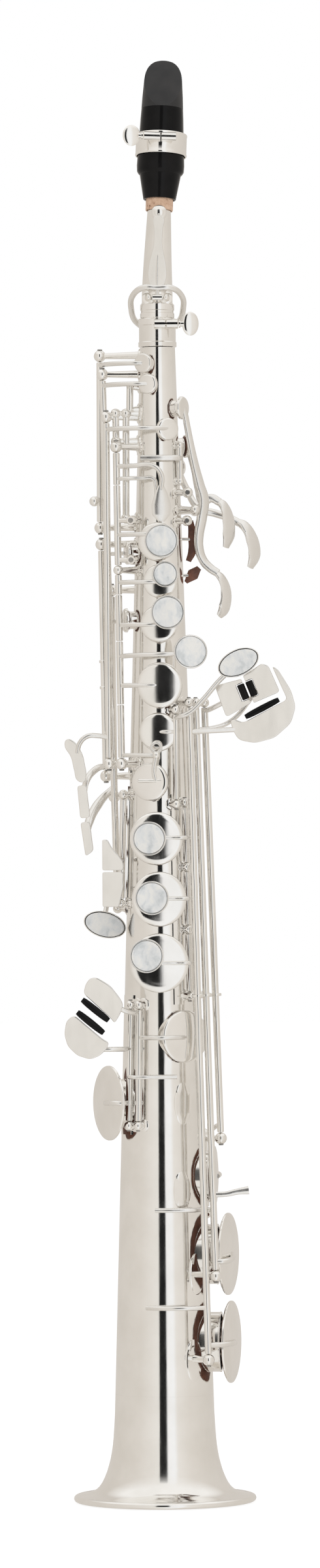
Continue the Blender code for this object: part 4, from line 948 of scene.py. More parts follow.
def makeFs():
    top = seatOf("fs", 0.85 * keySizes["cup"])
    x, aside, z = fsLink["knob"]
    knob = Vector((x, top.y + aside, z))
    parts = [hingeTube("fs_swing", *fsLink["tube"]), ballAt(knob, fsLink["knobR"]),
             bendWire(roundBody(onHinge("fs_swing", fsLink["armZ"]), knob), 1.0),
             bendWire([knob, top + Vector((2.6, -0.8, 5)), top + Vector((3.4, -0.6, 0.4))], 1.2)]
    turns = [2 * math.pi * i / 10 for i in range(10)]
    r, (left, right) = fsLink["ringR"], fsLink["cross"]
    parts.append(bendWire([knob + Vector((r * math.cos(t), 0.2, 3.6 + r * math.sin(t))) for t in turns],
                          0.7, loop=True))
    parts.append(tubeBetween(top + Vector((left, -0.5, 0.6)), top + Vector((right, -0.5, 0.6)), 1.1))
    dressKey("fs", parts, openings["upper"], cup="fs")


makeFrontF()
for stackName in stackKeys:
    makeStackKey(stackName)
makeG()
makeFs()
print("upper stack done")


# lower stack

lowerKeys = {
    "f": {"tube": (308.4, 334.6), "armZ": 320.2, "aside": -3.5, "rise": 0.0},
    "e": {"tube": (278.4, 303.6), "armZ": 291.0, "aside": -3.7, "rise": 0.6},
    "d": {"tube": (246.4, 273.6), "armZ": 260.1, "aside": -6.2, "rise": 3.5},
}


def makeLowerKey(name):
    sizes, joint, r = lowerKeys[name], name + "_swing", toneHoles[name]["cupR"]
    z = sizes["armZ"]
    top, start = seatOf(name, 0.9 * cupHeight(name)), onHinge(joint, z)
    points = [start, (start.x - 0.5, start.y - 2.5, z), (start.x - 0.9, top.y - 0.2, z),
              (top.x + 0.55 * r, top.y - 0.4, z), (top.x + 1, top.y - 0.1, z)]
    direction = facing(toneHoles[name]["azimuth"])
    centre = onCup(name, 2.4, sizes["aside"], sizes["rise"])
    parts = [hingeTube(joint, *sizes["tube"], 1.55), bendWire(points, 1.05),
             pearlHolder(centre, direction, pearlSizes["large"])]
    dressKey(name, parts, openings["lower"], cup=name, pearl=(centre, direction, pearlSizes["large"]))


for lowerName in lowerKeys:
    makeLowerKey(lowerName)
print("lower stack done")


# high and side keys on the left

highE = {"tube": (358.8, 520.0), "armZ": 517.0, "frontY": -11.6, "wire": "lever",
         "reach": [368.5, (-30, -11, 369.4), (-35, -11.6, 369.2), (-38.6, -11.4, 366), (-40, -11, 361)],
         "touch": [(-45.9, 365.3), (-44.7, 367.8), (-42.1, 367.2), (-38.0, 362.1), (-36.2, 355.8),
                   (-35.6, 349.5),
                   (-36.6, 347.3), (-39.7, 347.9), (-41.3, 352.7), (-42.8, 359.0)]}
makeReachKey("high_e", "highE", highE, [plateAt(highE["touch"], highE["frontY"])])

highFs = {"tube": (288.4, 540.8), "armZ": 538.5, "centre": (-27.2, -3.0, 278.4), "turn": 15.0,
          "wire": "lever",
          "reach": [291.0, (-24.6, 2.4, 290), (-27, 0, 284), (-27.2, -3.8, 279)]}
highFsPlate, highFsShell = ovalTouch(Vector(highFs["centre"]), highFs["turn"])
makeReachKey("high_fs", "highFs", highFs, [highFsPlate], highFsShell)

highG = {"tube": (473.0, 550.0), "armZ": 548.6, "ball": (-31, 0, 482.6), "ballR": 2.4, "wire": "stopArm",
         "reach": [484.0, (-30.5, 4.5, 484), (-31, 0, 483)]}
makeReachKey("high_g", "highG", highG, [ballAt(Vector(highG["ball"]), highG["ballR"])])

sideKeys = {
    "side_c": {"hole": "sideC", "tube": (353.0, 459.0), "frontY": -6.6, "collars": (405.4, 392.8),
               "lever": [355.0, (-31.5, 0.5, 353), (-35.5, -4.6, 348), (-37, -5.8, 341)],
               "widths": [1.3, 1.7, 1.7, 1.4],
               "touch": [(-40.0, 345.4), (-35.6, 346.0), (-33.8, 330.2), (-38.6, 329.6)]},
    "side_bb": {"hole": "sideBb", "tube": (343.0, 437.0), "frontY": -4.6, "collars": (),
                "lever": [345.0, (-30.5, 6, 336), (-34.5, 0, 328), (-35.6, -3.8, 322)],
                "widths": [1.3, 2.4, 2.3, 1.5],
                "touch": [(-38.6, 327.7), (-34.1, 328.3), (-32.3, 314.1), (-36.2, 311.3)]},
}
rodCollar = {"half": 0.7, "r": 2.25}


def makeSideKey(key):
    sizes, joint, half = sideKeys[key], key + "_swing", rodCollar["half"]
    hole = sizes["hole"]
    top = seatOf(hole, 0.8 * cupHeight(hole))
    start = onHinge(joint, top.z)
    over = [start, (0.5 * (start.x + top.x) - 0.6, start.y + 0.8, top.z), (top.x - 0.2, top.y + 4.4, top.z),
            top]
    parts = [hingeTube(joint, *sizes["tube"]), bendWire(over, 1.0),
             strap(pathOf(joint, sizes["lever"]), sizes["widths"], facing(-25), 0.5),
             softPlate(sizes["touch"], sizes["frontY"], 1.6)]
    parts += [hingeTube(joint, z - half, z + half, rodCollar["r"]) for z in sizes["collars"]]
    dressKey(key, parts, cup=hole)


for sideName in sideKeys:
    makeSideKey(sideName)

sideFs = {"tube": (290.9, 338.6), "rodZ": (310.0, 296.0), "rodEnd": (-22, -10.4), "cupZ": 331.0,
          "frontY": -11.4,
          "touches": [[(-28.1, 287.0), (-28.1, 303.8), (-18.0, 303.8), (-18.0, 296.0), (-20.2, 287.0)],
                      [(-28.1, 304.6), (-28.1, 319.4), (-25.6, 319.4), (-23.6, 315.6), (-20.4, 312.2),
                       (-18.0, 309.0),
                       (-18.0, 304.6)]]}


def makeSideFs():
    joint = "side_fs_swing"
    over = bendWire(roundBody(onHinge(joint, sideFs["cupZ"]), seatOf("sideFs", 2.0), -1.0), 0.9)
    parts = [hingeTube(joint, *sideFs["tube"]), over]
    for z in sideFs["rodZ"]:
        parts.append(tubeBetween(onHinge(joint, z), Vector((*sideFs["rodEnd"], z)), keySizes["lever"]))
    parts += [softPlate(outline, sideFs["frontY"], 1.0) for outline in sideFs["touches"]]
    dressKey("side_fs", parts, cup="sideFs")


makeSideFs()
print("high and side keys done")


# left little-finger table and the long rods

table = {"frontY": -17.4, "pivot": 46.0, "seam": (42.1, -16.7, 390.8), "lean": 21.8, "rollerR": 1.8,
         "rollerH": 7.75,
         "rollerGap": 0.7, "earGap": 1.5, "clear": 0.3}
bbOutline = [(33.8, 376.4), (35.0, 371.6), (37.8, 366.9), (45.7, 365.3), (55.2, 367.8), (63.2, 374.8),
             (65.5, 382.7),
             (63.3, 390.6), (57.0, 400.7), (54.2, 402.3), (59.6, 390.4), (61.6, 386.2), (40.2, 375.2),
             (36.0, 376.8)]


def tablePoint(along, aside):  # down the seam of the table and to the right of it
    lean = math.radians(table["lean"])
    x, _, z = table["seam"]
    return (x + along * math.sin(lean) + aside * math.cos(lean),
            z - along * math.cos(lean) + aside * math.sin(lean))


def tableNotch(side):
    ear = 0.5 * side * table["earGap"]
    deep = side * (0.5 * table["rollerGap"] + 2 * table["rollerR"] + table["clear"])
    half = 0.5 * table["rollerH"] + table["clear"]
    return [tablePoint(a, b) for a, b in [(-half, ear), (-half, deep), (half, deep), (half, ear)]]


def tablePlate(outline, radii):  # the corners of the notch stay crisp, the outer ones are rounded
    return plateAt(softCorners(outline, radii), table["frontY"], edge=0.3, curved=False,
                   pivot=table["pivot"])


gSharp = {"tube": (338.6, 379.2), "tubeR": 1.5, "armZ": 371.0, "bulge": 0.6, "armR": 1.0, "wire": "lever",
          "centre": (37.8, -20.6, 404.0), "turn": -25.0,
          "reach": [377.5, (9.5, -21.8, 378.2), (14.5, -23, 380.4), (21, -22.6, 386.6),
                    (28.6, -20.9, 395.4),
                    (36, -20.3, 402.2)]}
gSharpPlate, gSharpShell = ovalTouch(Vector(gSharp["centre"]), gSharp["turn"])
makeReachKey("gs", "gs", gSharp, [gSharpPlate], gSharpShell)

lowBb = {"tube": (73.0, 382.6), "stopZ": 95.0, "stopEnd": across(-8.3, 94.8, 2.2),
         "reach": [371.0, (24, -16.4, 371.4), (36, -14.6, 372)],
         "over": [77.0, (28.5, -22, 77), (31.6, -15, 77)]}


def makeLowBb():
    joint = "low_bb_swing"
    plate = plateAt(evenCorners(bbOutline, 2.4), table["frontY"], curved=False, pivot=table["pivot"])
    stop = bendWire(roundBody(onHinge(joint, lowBb["stopZ"]), lowBb["stopEnd"], 0.6), keySizes["stopArm"])
    steady = [hingeTube(joint, *lowBb["tube"]), keyWire(joint, lowBb["reach"], keySizes["heavyArm"]), stop,
              plate]
    dressKey("low_bb", [overArm(joint, lowBb["over"], "lowBb")], openings["lowBb"], steady, "lowBb")


lowB = {"tube": (113.0, 382.6), "outer": [(49.2, 403.5), (52.3, 402.6), (57.9, 389.9)],
        "corners": (0.5, 1.2, 1.4, 1.8, 0.5, 0.2, 0.3, 0.3, 0.2),
        "reach": [372.0, (24, -11.6, 372.5), (34, -9.6, 376), (44, -10.8, 387), (49.5, -16.6, 394)],
        "stop": [141.5, (22.2, -17.5, 141.5), (15, -22, 141.5), (5, -23.4, 141.5), across(-4, 141.5, 2.2)],
        "over": [117.0, (29.2, -23.5, 117), (31.4, -16, 117.5)],
        "bumper": [149, (30, -23.4, 149.2), (36, -23.2, 150.4), (41, -23, 151)],
        "bumperR": [1.3, 1.3, 1.5, 2.0]}


def makeLowB():
    joint, ear = "low_b_swing", 0.5 * table["earGap"]
    outline = [tablePoint(-7.2, ear)] + lowB["outer"] + [tablePoint(6.9, ear)] + tableNotch(1)[::-1]
    steady = [hingeTube(joint, *lowB["tube"]), tablePlate(outline, lowB["corners"])]
    steady += [keyWire(joint, lowB[path], keySizes["stopArm"]) for path in ("reach", "stop")]
    steady.append(strap(pathOf(joint, lowB["bumper"]), lowB["bumperR"], (0, 1, 0), 0.6))
    dressKey("low_b", [overArm(joint, lowB["over"], "lowB")], openings["lowB"], steady, "lowB")


lowCs = {"tube": (178.0, 382.6), "cupTube": (141.0, 173.0), "outer": ((26.3, 393.1), (31.9, 377.9)),
         "corners": (1.8, 0.5, 0.2, 0.3, 0.3, 0.2, 0.5, 1.8),
         "reach": [381.0, (24.5, -10.4, 382), (30.5, -13.6, 385)],
         "lift": [181.0, (26.5, 0.5, 181), (24, 6.5, 179)],
         "over": [157.0, (24.6, 16.5, 157), (27, 9, 157)]}


def makeLowCs():
    joint, cupJoint, ear = "low_cs_lever_swing", "low_cs_cup_swing", -0.5 * table["earGap"]
    top, bottom = lowCs["outer"]
    outline = [top, tablePoint(-6.1, ear)] + tableNotch(-1) + [tablePoint(6.4, ear), bottom]
    lever = [hingeTube(joint, *lowCs["tube"]), keyWire(joint, lowCs["reach"], keySizes["lever"]),
             keyWire(joint, lowCs["lift"], keySizes["stopArm"]), tablePlate(outline, lowCs["corners"])]
    dressKey("low_cs", lever, node="low_cs_lever", joint=joint)
    parts = [hingeTube(cupJoint, *lowCs["cupTube"]), overArm(cupJoint, lowCs["over"], "lowCs")]
    dressKey("low_cs", parts, cup="lowCs", joint=cupJoint)


makeLowBb()
makeLowB()
makeLowCs()
print("little-finger table and long rods done")


# right little-finger keys and the rollers

lowTouchY = -26.0
lowEb = {"tube": (184.4, 237.6), "armZ": 224.4, "bulge": 3.2, "wire": "lever",
         "reach": [236.4, (-14.5, -23.2, 236.4), (-19, -25, 238), (-23, -24.9, 240)],
         "touch": [(-37.6, 245.8), (-36.4, 250.5), (-34.0, 253.4), (-30.9, 253.4), (-24.6, 249.6),
                   (-19.9, 243.6),
                   (-18.3, 240.5), (-19.9, 235.7), (-22.6, 231.6), (-24.2, 233.8)]}
makeReachKey("low_eb", "lowEb", lowEb, [softPlate(lowEb["touch"], lowTouchY, 2.0)])

lowC = {"tube": (184.4, 237.6), "stopR": 1.05,
        "reach": [219.0, (-18.6, -22.6, 219), (-23.5, -24.8, 219), (-29, -24.9, 219)],
        "stop": [205.5, (-15.4, -22.4, 205.5), (-11, -24, 205.5), (-3, -23.6, 205.5), (7, -22.4, 205.5)],
        "over": [193.0, (-20.5, -21.4, 193), (-25.2, -15, 193)],
        "touch": [(-42.2, 235.6), (-45.9, 232.6), (-46.9, 226.3), (-45.3, 220.6), (-40.6, 216.1),
                  (-34.3, 214.2),
                  (-29.5, 216.1), (-26.0, 219.9), (-25.4, 222.4), (-28.8, 224.4)]}


def makeLowC():
    joint = "low_c_swing"
    steady = [hingeTube(joint, *lowC["tube"]), keyWire(joint, lowC["reach"], keySizes["lever"]),
              keyWire(joint, lowC["stop"], lowC["stopR"]), softPlate(lowC["touch"], lowTouchY, 2.0)]
    dressKey("low_c", [overArm(joint, lowC["over"], "lowC")], openings["lowC"], steady, "lowC")


rollerShapes = {"barrel": [(0.66, 0), (0.74, 0.02), (0.86, 0.1), (0.95, 0.25), (1, 0.5), (0.95, 0.75),
                           (0.86, 0.9), (0.74, 0.98), (0.66, 1)],
                "straight": [(0.80, 0), (0.90, 0.015), (0.98, 0.04), (1, 0.07), (1, 0.93), (0.98, 0.96),
                             (0.90, 0.985), (0.80, 1)]}


def tableRollerEnds(side):
    aside = side * (0.5 * table["rollerGap"] + table["rollerR"])
    ends = [tablePoint(along, aside) for along in (-0.5 * table["rollerH"], 0.5 * table["rollerH"])]
    return [Vector((x, table["seam"][1], z)) for x, z in ends]


rollers = {
    "bb_roller": (Vector((41.0, -16.9, 377.85)), Vector((57.2, -16.9, 386.2)), 1.6, "barrel"),
    "table_roller_left": (*tableRollerEnds(-1), table["rollerR"], "straight"),
    "table_roller_right": (*tableRollerEnds(1), table["rollerR"], "straight"),
    "eb_roller": (Vector((-38.2, -25.2, 243.0)), Vector((-25.6, -25.2, 232.8)), 1.75, "barrel"),
    "c_roller": (Vector((-40.6, -25.2, 237.0)), Vector((-28.0, -25.2, 226.8)), 1.75, "barrel"),
}


def makeRoller(name):
    start, end, radius, shape = rollers[name]
    length = (end - start).length
    profile = [(0, 0)] + [(share * radius, height * length) for share,
                          height in rollerShapes[shape]] + [(0, length)]
    finishPiece([discOn(start, end - start, profile, 36)], camelName(name), name, rollerBlack,
                [name])


makeLowC()
for rollerName in rollers:
    makeRoller(rollerName)
print("right little-finger keys and rollers done")


# palm keys and the octave thumb lever

palmSizes = {"x": 17.5, "z": 478.0, "leaf": (1.5, 3.0, 4.4, 4.5, 2.2)}
palmKeys = {
    "palm_f": {
        "hole": "palmF", "tube": (-5.6, -1.8), "stub": ((17.5, -3.9, 478), (22.0, -4.3, 478.5)),
        "looking": 58,
        "path": [(15.4, -6.6, 511), (17.6, -5.6, 500), (20.0, -5, 490), (21.8, -4.4, 483),
                 (20.8, -4.2, 474),
                 (19.4, -4.2, 466), (19.4, -4.2, 460), (21.2, -4.2, 454), (24.6, -4.2, 450),
                 (28.4, -4.2, 447.4)],
        "widths": [1.8, 2.1, 2.5, 2.8, 2.8, 2.6, 2.4, 2.3, 2.2, 2.0],
        "touch": [(27.0, -4.2, 448.2), (30.6, -3.9, 444.2), (32.3, -3.4, 438), (31.4, -3.2, 431),
                  (29.0, -3.4, 426.8)]},
    "palm_eb": {
        "hole": "palmEb", "tube": (-1.4, 4.0), "stub": ((17.5, 1.3, 478), (21.6, 1.2, 481.5)),
        "looking": 52,
        "path": [(17.4, 3, 498), (19.4, 1.6, 488), (21.6, 1.2, 482.4), (25.4, 1, 483.8), (29.6, 1, 481.8)],
        "widths": [1.8, 2.0, 2.2, 2.1, 2.0],
        "touch": [(28.4, 1, 482.6), (31.6, 1, 479.8), (33.7, 0.7, 473.2), (33.8, 0.5, 466),
                  (32.4, 0.6, 460)]},
    "palm_d": {
        "hole": "palmD", "tube": (4.4, 11.6), "stub": ((17.5, 8.4, 478), (19.4, 8.4, 479.5)), "looking": 52,
        "path": [(14, 11.2, 488), (19.4, 8.4, 479.5), (28, 8.8, 476.6), (34, 8.6, 474.6), (39, 8.4, 472)],
        "widths": [1.8, 1.9, 1.9, 1.9, 1.9],
        "touch": [(37.6, 8.4, 472.8), (41.8, 8.4, 470.2), (45.2, 8.3, 463.8), (46.2, 8.2, 456.6),
                  (44.2, 8.2, 450.4)]},
}


def makePalmKey(key):
    sizes = palmKeys[key]
    low, high = (Vector((palmSizes["x"], y, palmSizes["z"])) for y in sizes["tube"])
    first, last = (Vector(point) for point in sizes["stub"])
    parts = [tubeBetween(low, high, keySizes["tube"], 28), tubeBetween(first, last, keySizes["heavyArm"]),
             strap([seatOf(sizes["hole"], 2.0)] + sizes["path"], [1.6] + sizes["widths"], facing(32), 0.6),
             strap(sizes["touch"], palmSizes["leaf"], facing(sizes["looking"]), 0.3)]
    dressKey(key, parts, cup=sizes["hole"])


for palmName in palmKeys:
    makePalmKey(palmName)

palmFelts = [  # brown stops on the body for the palm F lever: path, half widths and height of the stem
    {"path": ((14.2, -0.4, 453.4), (16.2, -0.4, 458.5), (16.4, -0.4, 465), (15.4, -0.4, 473)),
     "widths": (1.3, 2.1, 2.3, 1.3), "stem": 464.0},
    {"path": ((12.9, -0.4, 443.2), (16.4, -0.4, 447), (19.4, -0.4, 450.2)), "widths": (0.9, 3.0, 1.3),
     "stem": 446.5},
]


def makePalmFelts():
    parts = []
    for felt in palmFelts:
        block = strap(felt["path"], felt["widths"], (0, 1, 0), 0.4)
        block.data.materials.clear()
        stem = tubeBetween(Vector((coneAt(felt["stem"]) - 0.6, -0.4, felt["stem"])),
                           Vector((15.4, -0.4, felt["stem"])), 0.8)
        stem.data.materials.append(silver)
        parts += [block, stem]
    finishPiece(parts, "palmFelts", "body", padLeather)


makePalmFelts()

octaveLever = {"y": 13.09, "z": 535.0, "half": 3.1, "paddleZ": 466.0, "paddle": (13, 2.2, 21)}


def makeOctaveLever():
    y, z, half = octaveLever["y"], octaveLever["z"], octaveLever["half"]
    middle, paddleY = Vector((0, y, z)), coneAt(octaveLever["paddleZ"]) + 5.0
    paddleAt = (0, paddleY + 0.4, octaveLever["paddleZ"])
    parts = [tubeBetween(middle - Vector((half, 0, 0)), middle + Vector((half, 0, 0)), keySizes["tube"],
                         28),
             bendWire([middle, (0, y + 1.6, 515), (0, paddleY + 0.6, 490), (0, paddleY, 474)],
                      keySizes["heavyArm"]),
             bendWire([middle, (0, y - 0.2, 545), (0, 11.6, 553), (0, 10.25, 559), (0, 10.25, 567)], 0.6),
             place(paddle(octaveLever["paddle"]), Matrix.Translation(paddleAt))]
    dressKey("octave", parts, node="octave_thumb_lever", joint="octave_lever_rock")


makeOctaveLever()
print("palm keys and octave lever done")


# neck, receiver and mouthpiece, modelled straight and then bent along the neck

neckBend = {"z": 573.0, "height": 30.0, "lean": 6.8, "azimuth": 162.0}


def bendNeck(obj):
    lean, sideways = math.radians(neckBend["lean"]), facing(neckBend["azimuth"])
    bendR = neckBend["height"] / lean
    for vertex in obj.data.vertices:
        rise = vertex.co.z - neckBend["z"]
        if rise <= 0:
            continue
        turn, beyond = min(rise / neckBend["height"], 1) * lean, max(rise - neckBend["height"], 0)
        flat = Vector((vertex.co.x, vertex.co.y, 0))
        along = flat.dot(sideways)
        spine = sideways * (bendR * (1 - math.cos(turn)) + beyond * math.sin(turn))
        height = neckBend["z"] + bendR * math.sin(turn) + beyond * math.cos(turn)
        level = flat - sideways * along + sideways * along * math.cos(turn)
        vertex.co = spine + level + up * (height - along * math.sin(turn))
    return obj


receiver = {"r": 9.2, "bore": 7.2, "low": 556.8, "high": 570.4,
            "barrel": ((-1.6, -10.2, 567.4), (10.0, -10.2, 567.4)), "barrelR": 2.4}


def makeReceiver():
    r, bore, low, high = (receiver[k] for k in ("r", "bore", "low", "high"))
    profile = [(bore, low), (r - 0.2, low), (r, low + 0.2), (r, low + 2.2), (r - 0.35, low + 2.6),
               (r - 0.35, high - 3.4)]
    profile += [(r, high - 3.0), (r, high - 0.3), (r - 0.3, high), (bore + 0.2, high), (bore, high - 0.2)]
    start, end = (Vector(point) for point in receiver["barrel"])
    split = Vector((3.9, start.y, start.z))
    lugs = [tubeBetween(start, split, receiver["barrelR"], 32),
            tubeBetween(split + Vector((0.5, 0, 0)), end, receiver["barrelR"], 32)]
    finishPiece([lathe(profile, 72, ring=True), *lugs], "neckReceiver", "body", silver,
                ["neck_receiver"])


def wingScrew(start, end, radius, half, thick, centre):
    turn = spin(12, "Z")
    wing = place(ballAt(Vector((0, 0, 0)), 1.0),
                 Matrix.Translation(centre) @ turn @ Matrix.Diagonal((half[0], 0.5 * thick, half[1], 1)))
    collar = discOn(start, end - start, [(0, 0), (radius + 0.6, 0), (radius + 0.6, 0.7), (radius, 0.9),
                                         (0, 0.9)], 28)
    return [tubeBetween(start, end, radius, 28), collar, wing]


neckTube = {"topR": 5.7, "topZ": 642.0, "lowR": 7.4, "corkZ": 622.0, "taperZ": 583.0, "tenonR": 6.9,
            "wall": 0.8}


def makeNeck():
    topR, lowR, tenonR, wall = (neckTube[k] for k in ("topR", "lowR", "tenonR", "wall"))
    corkZ, topZ, taperZ = (neckTube[k] for k in ("corkZ", "topZ", "taperZ"))
    profile = [(topR - wall, topZ), (topR, topZ), (topR, corkZ)]
    shares = [i / 10 for i in range(9, -1, -1)]
    profile += [(lowR + (topR - lowR) * t, taperZ + (corkZ - taperZ) * t) for t in shares]
    profile += [(lowR, 578.2), (7.7, 577.6), (8.1, 577.3), (8.2, 576.9), (8.2, 574.6), (7.9, 574.3),
                (7.9, 573.2), (8.2, 572.9)]
    profile += [(8.2, 571.0), (8.0, 570.75), (tenonR, 570.7), (tenonR, 557.3), (tenonR - wall, 557.3),
                (tenonR - wall, 577)]
    profile += [(lowR - 1.2, 590), (topR - wall, corkZ)]
    parts = [lathe(profile, 64, ring=True),
             discOn((0, -topR + 0.4, 620.6), (0, -1, 0),
                    [(0, 0), (2.4, 0), (2.1, 0.6), (1.6, 0.9), (1.6, 1.9), (1.5, 2.0), (0, 2.0)], 32)]
    for x in (-4.2, 4.2):
        parts.append(ballPost(Vector((x, -9.6, 580)), Vector((x, -5.6, 580)), 1.35))
    finishPiece([bendNeck(part) for part in parts], "neckTube", "neck", silver, ["neck_tube"])
    sleeve = [(6.0, 641), (6.2, 641), (6.4, 640.4), (6.6, 639), (6.6, 623.3), (6.4, 623), (6.0, 623)]
    finishPiece([bendNeck(lathe(sleeve, 56, ring=True))], "neckCork", "neck", cork, ["neck_cork"])


neckKey = {"y": -9.6, "z": 580.0, "pad": (0, -7.5, 620.6),
           "leaf": [(-4.2, 588), (-4.3, 594), (-3.2, 599.5), (-2.2, 604), (-2.1, 612), (-2.2, 618),
                    (2.2, 618), (2.1, 612),
                    (2.2, 604), (3.2, 599.5), (4.3, 594), (4.2, 588), (2.6, 585), (-2.6, 585)]}


def makeNeckKey():
    y, z = neckKey["y"], neckKey["z"]
    half = [(0, -9.9, 584.5), (6.5, -9.4, 584.5), (11.6, -4.5, 581.5), (12.6, 2, 576), (9.6, 8.8, 569)]
    ring = half + [(0, 12.6, 565.8)] + [(-x, yy, zz) for x, yy, zz in half[:0:-1]]
    cap = [(0, 2.6), (0.8, 2.56), (1.5, 2.45), (2.1, 2.3), (2.3, 2.1), (2.6, 2.0), (3.2, 1.75), (3.6, 1.4),
           (3.8, 1.0), (3.8, 0.5), (0, 0.5)]
    parts = [tubeBetween(Vector((-2.5, y, z)), Vector((2.5, y, z)), 1.4, 28),
             bendWire([(0, y, z), (0, y - 0.3, 590), (0, -9.4, 606), (0, -9.2, 620)], 1.0),
             plateAt(neckKey["leaf"], -10.6, 1.2, 0.35), discOn(neckKey["pad"], (0, -1, 0), cap, 44),
             bendWire(ring, 1.4, loop=True)]
    parts = [bendNeck(part) for part in parts]
    finishPiece(parts, "neckOctaveKey", "neck_octave_key", silver, ["neck_octave_key"])
    disc = discOn(neckKey["pad"], (0, -1, 0), [(0, 0.48), (3.4, 0.48), (3.4, 0.1), (3.1, 0), (0, 0)], 36)
    finishPiece([bendNeck(disc)], "neckOctavePad", "neck_octave_key", padLeather)


mouthpieceSizes = {"tip": 699.2, "beak": 673.0, "shoulder": 640.5, "shank": 628.5, "tableY": 7.9,
                   "bore": 6.95}


def makeMouthpiece():
    tip, beak, shoulder = (mouthpieceSizes[k] for k in ("tip", "beak", "shoulder"))
    shank, tableY, bore = (mouthpieceSizes[k] for k in ("shank", "tableY", "bore"))
    slope = Vector((0, tableY - 1.4 + 10.1, tip - beak))
    slant = math.atan2(slope.y, slope.z)
    outward = Vector((0, -math.cos(slant), math.sin(slant)))
    lower = [(bore, shank), (7.7, shank), (7.9, shank + 0.2), (9.95, shoulder), (10.6, shoulder + 0.5),
             (11.3, shoulder + 1.6),
             (11.5, shoulder + 4.5), (10.95, beak - 16), (10.7, beak - 12), (10.4, beak - 5), (10.1, beak)]
    upper = [(10.1, beak), (9.8, beak + 6), (9.2, tip - 12), (8.7, tip - 8), (8.2, tip - 5.2),
             (7.6, tip - 3.2), (6.9, tip - 1.8),
             (6.0, tip - 0.9), (4.4, tip - 0.25), (2.4, tip), (0, tip)]
    shell = lathe(lower + [(0, beak), (0, 664), (bore, 660), (bore, shank)], 72)
    beakTop = lathe([(0, beak)] + upper, 72)
    for piece in (shell, beakTop):
        cutAway(piece, bigBlock((0, tableY + 20, 675), (50, 40, 70)))
    cutAway(beakTop, bigBlock(Vector((0, -10.1, beak)) + outward * 20 + slope * 0.5, (50, 40, 90),
                              Matrix.Rotation(-slant, 4, "X")))
    finishPiece([bendNeck(shell)], "mouthpieceShank", "mouthpiece", shankBlack, ["mouthpiece"])
    finishPiece([bendNeck(beakTop)], "mouthpieceBeak", "mouthpiece", beakBlack)


def makeReed():
    tip = mouthpieceSizes["tip"]
    outline = [(-5, 641), (5, 641), (5.9, tip - 7), (5.6, tip - 3), (4.8, tip - 1.4), (-4.8, tip - 1.4),
               (-5.6, tip - 3), (-5.9, tip - 7)]
    blank = place(cutPlate(outline, 2.2, 0.15, curved=False),
                  Matrix.Translation((0, mouthpieceSizes["tableY"] + 2.5, 0)))
    shave = bigBlock((0, mouthpieceSizes["tableY"] + 0.3 + 2.2 + 9.4, tip - 14), (30, 20, 60), spin(4, "X"))
    finishPiece([bendNeck(cutAway(blank, shave))], "reed", "mouthpiece", cane, ["reed"])


ligature = {"low": 649.7, "high": 660.4, "r": 12.4, "inner": 11.8, "barrelY": -13.7, "barrelZ": 657.0,
            "barrelR": 2.0}


def makeLigature():
    low, high, r, inner = (ligature[k] for k in ("low", "high", "r", "inner"))
    y, z, barrelR = ligature["barrelY"], ligature["barrelZ"], ligature["barrelR"]
    band = [(inner, low), (r - 0.1, low), (r + 0.05, low + 0.3), (r + 0.05, low + 0.9),
            (r - 0.1, low + 1.2), (r - 0.1, high - 1.2)]
    band += [(r + 0.05, high - 0.9), (r + 0.05, high - 0.3), (r - 0.1, high), (inner, high)]
    parts = [lathe(band, 72, ring=True)]
    for first, last in ((-8.5, -0.5), (0.1, 7.3)):
        parts.append(tubeBetween(Vector((first, y, z)), Vector((last, y, z)), barrelR, 32))
    parts = [bendNeck(part) for part in parts]
    finishPiece(parts, "ligature", "mouthpiece", silver, ["ligature"])
    start, end = Vector((-8.9, y, z)), Vector((-11.2, y, z))
    screw = wingScrew(start, end, 1.2, (4.3, 5.2), 1.8, end + Vector((-3.2, 0, 0)))
    screw = [bendNeck(part) for part in screw]
    finishPiece(screw, "ligatureScrew", "ligature_screw", silver, ["ligature_screw"])


makeReceiver()
receiverStart, receiverEnd = Vector((10.3, -10.4, 567.4)), Vector((13.0, -10.4, 567.4))
finishPiece(wingScrew(receiverStart, receiverEnd, 1.4, (4.1, 5.8), 2.0, receiverEnd + Vector((2.9, 0, 0))),
            "receiverScrew", "receiver_screw", silver, ["receiver_screw"])
makeNeck()
makeNeckKey()
makeMouthpiece()
makeReed()
makeLigature()
print("neck and mouthpiece done")


# fittings at the back

backFittings = {"restZ": 438.0, "hookZ": 289.0, "ringZ": 348.0, "ringR": 5.0, "ringWire": 1.2}


def makeBackFittings():
    rest = [(0, 3.4), (3.0, 3.36), (6.0, 3.2), (7.0, 2.8), (7.4, 2.2), (7.4, 1.6), (7.0, 1.4), (3.4, 1.2),
            (3.2, 1.1), (3.2, 0), (0, 0)]
    disc = discOn(spot(backFittings["restZ"], 180, 0.3), (0, 1, 0), rest, 48)
    finishPiece([disc], "thumbRest", "body", shankBlack, ["thumb_rest"])
    y = coneAt(backFittings["hookZ"]) + 0.3
    base = place(paddle((9.6, 1.9, 23), 3), Matrix.Translation((0, y + 0.8, 300)))
    hook = bendWire([(0, y + 1, 303), (0, y + 8, 304), (0, y + 14, 301), (0, y + 17, 294),
                     (0, y + 15.5, 287)], 3.0)
    finishPiece([base, hook], "thumbHook", "body", silver, ["thumb_hook"])
    y = coneAt(backFittings["ringZ"]) + 0.3
    z, r = backFittings["ringZ"], backFittings["ringR"]
    foot = place(paddle((6.4, 2.1, 9.6), 3), Matrix.Translation((0, y + 0.9, z)))
    turns = [2 * math.pi * i / 12 for i in range(12)]
    loop = bendWire([(0, y + r + 1.2 + r * math.cos(t), z + r * math.sin(t)) for t in turns],
                    backFittings["ringWire"], loop=True)
    finishPiece([foot, loop], "strapRing", "body", silver, ["strap_ring"])


makeBackFittings()
print("back fittings done")


# screw heads, one piece for each body that carries some

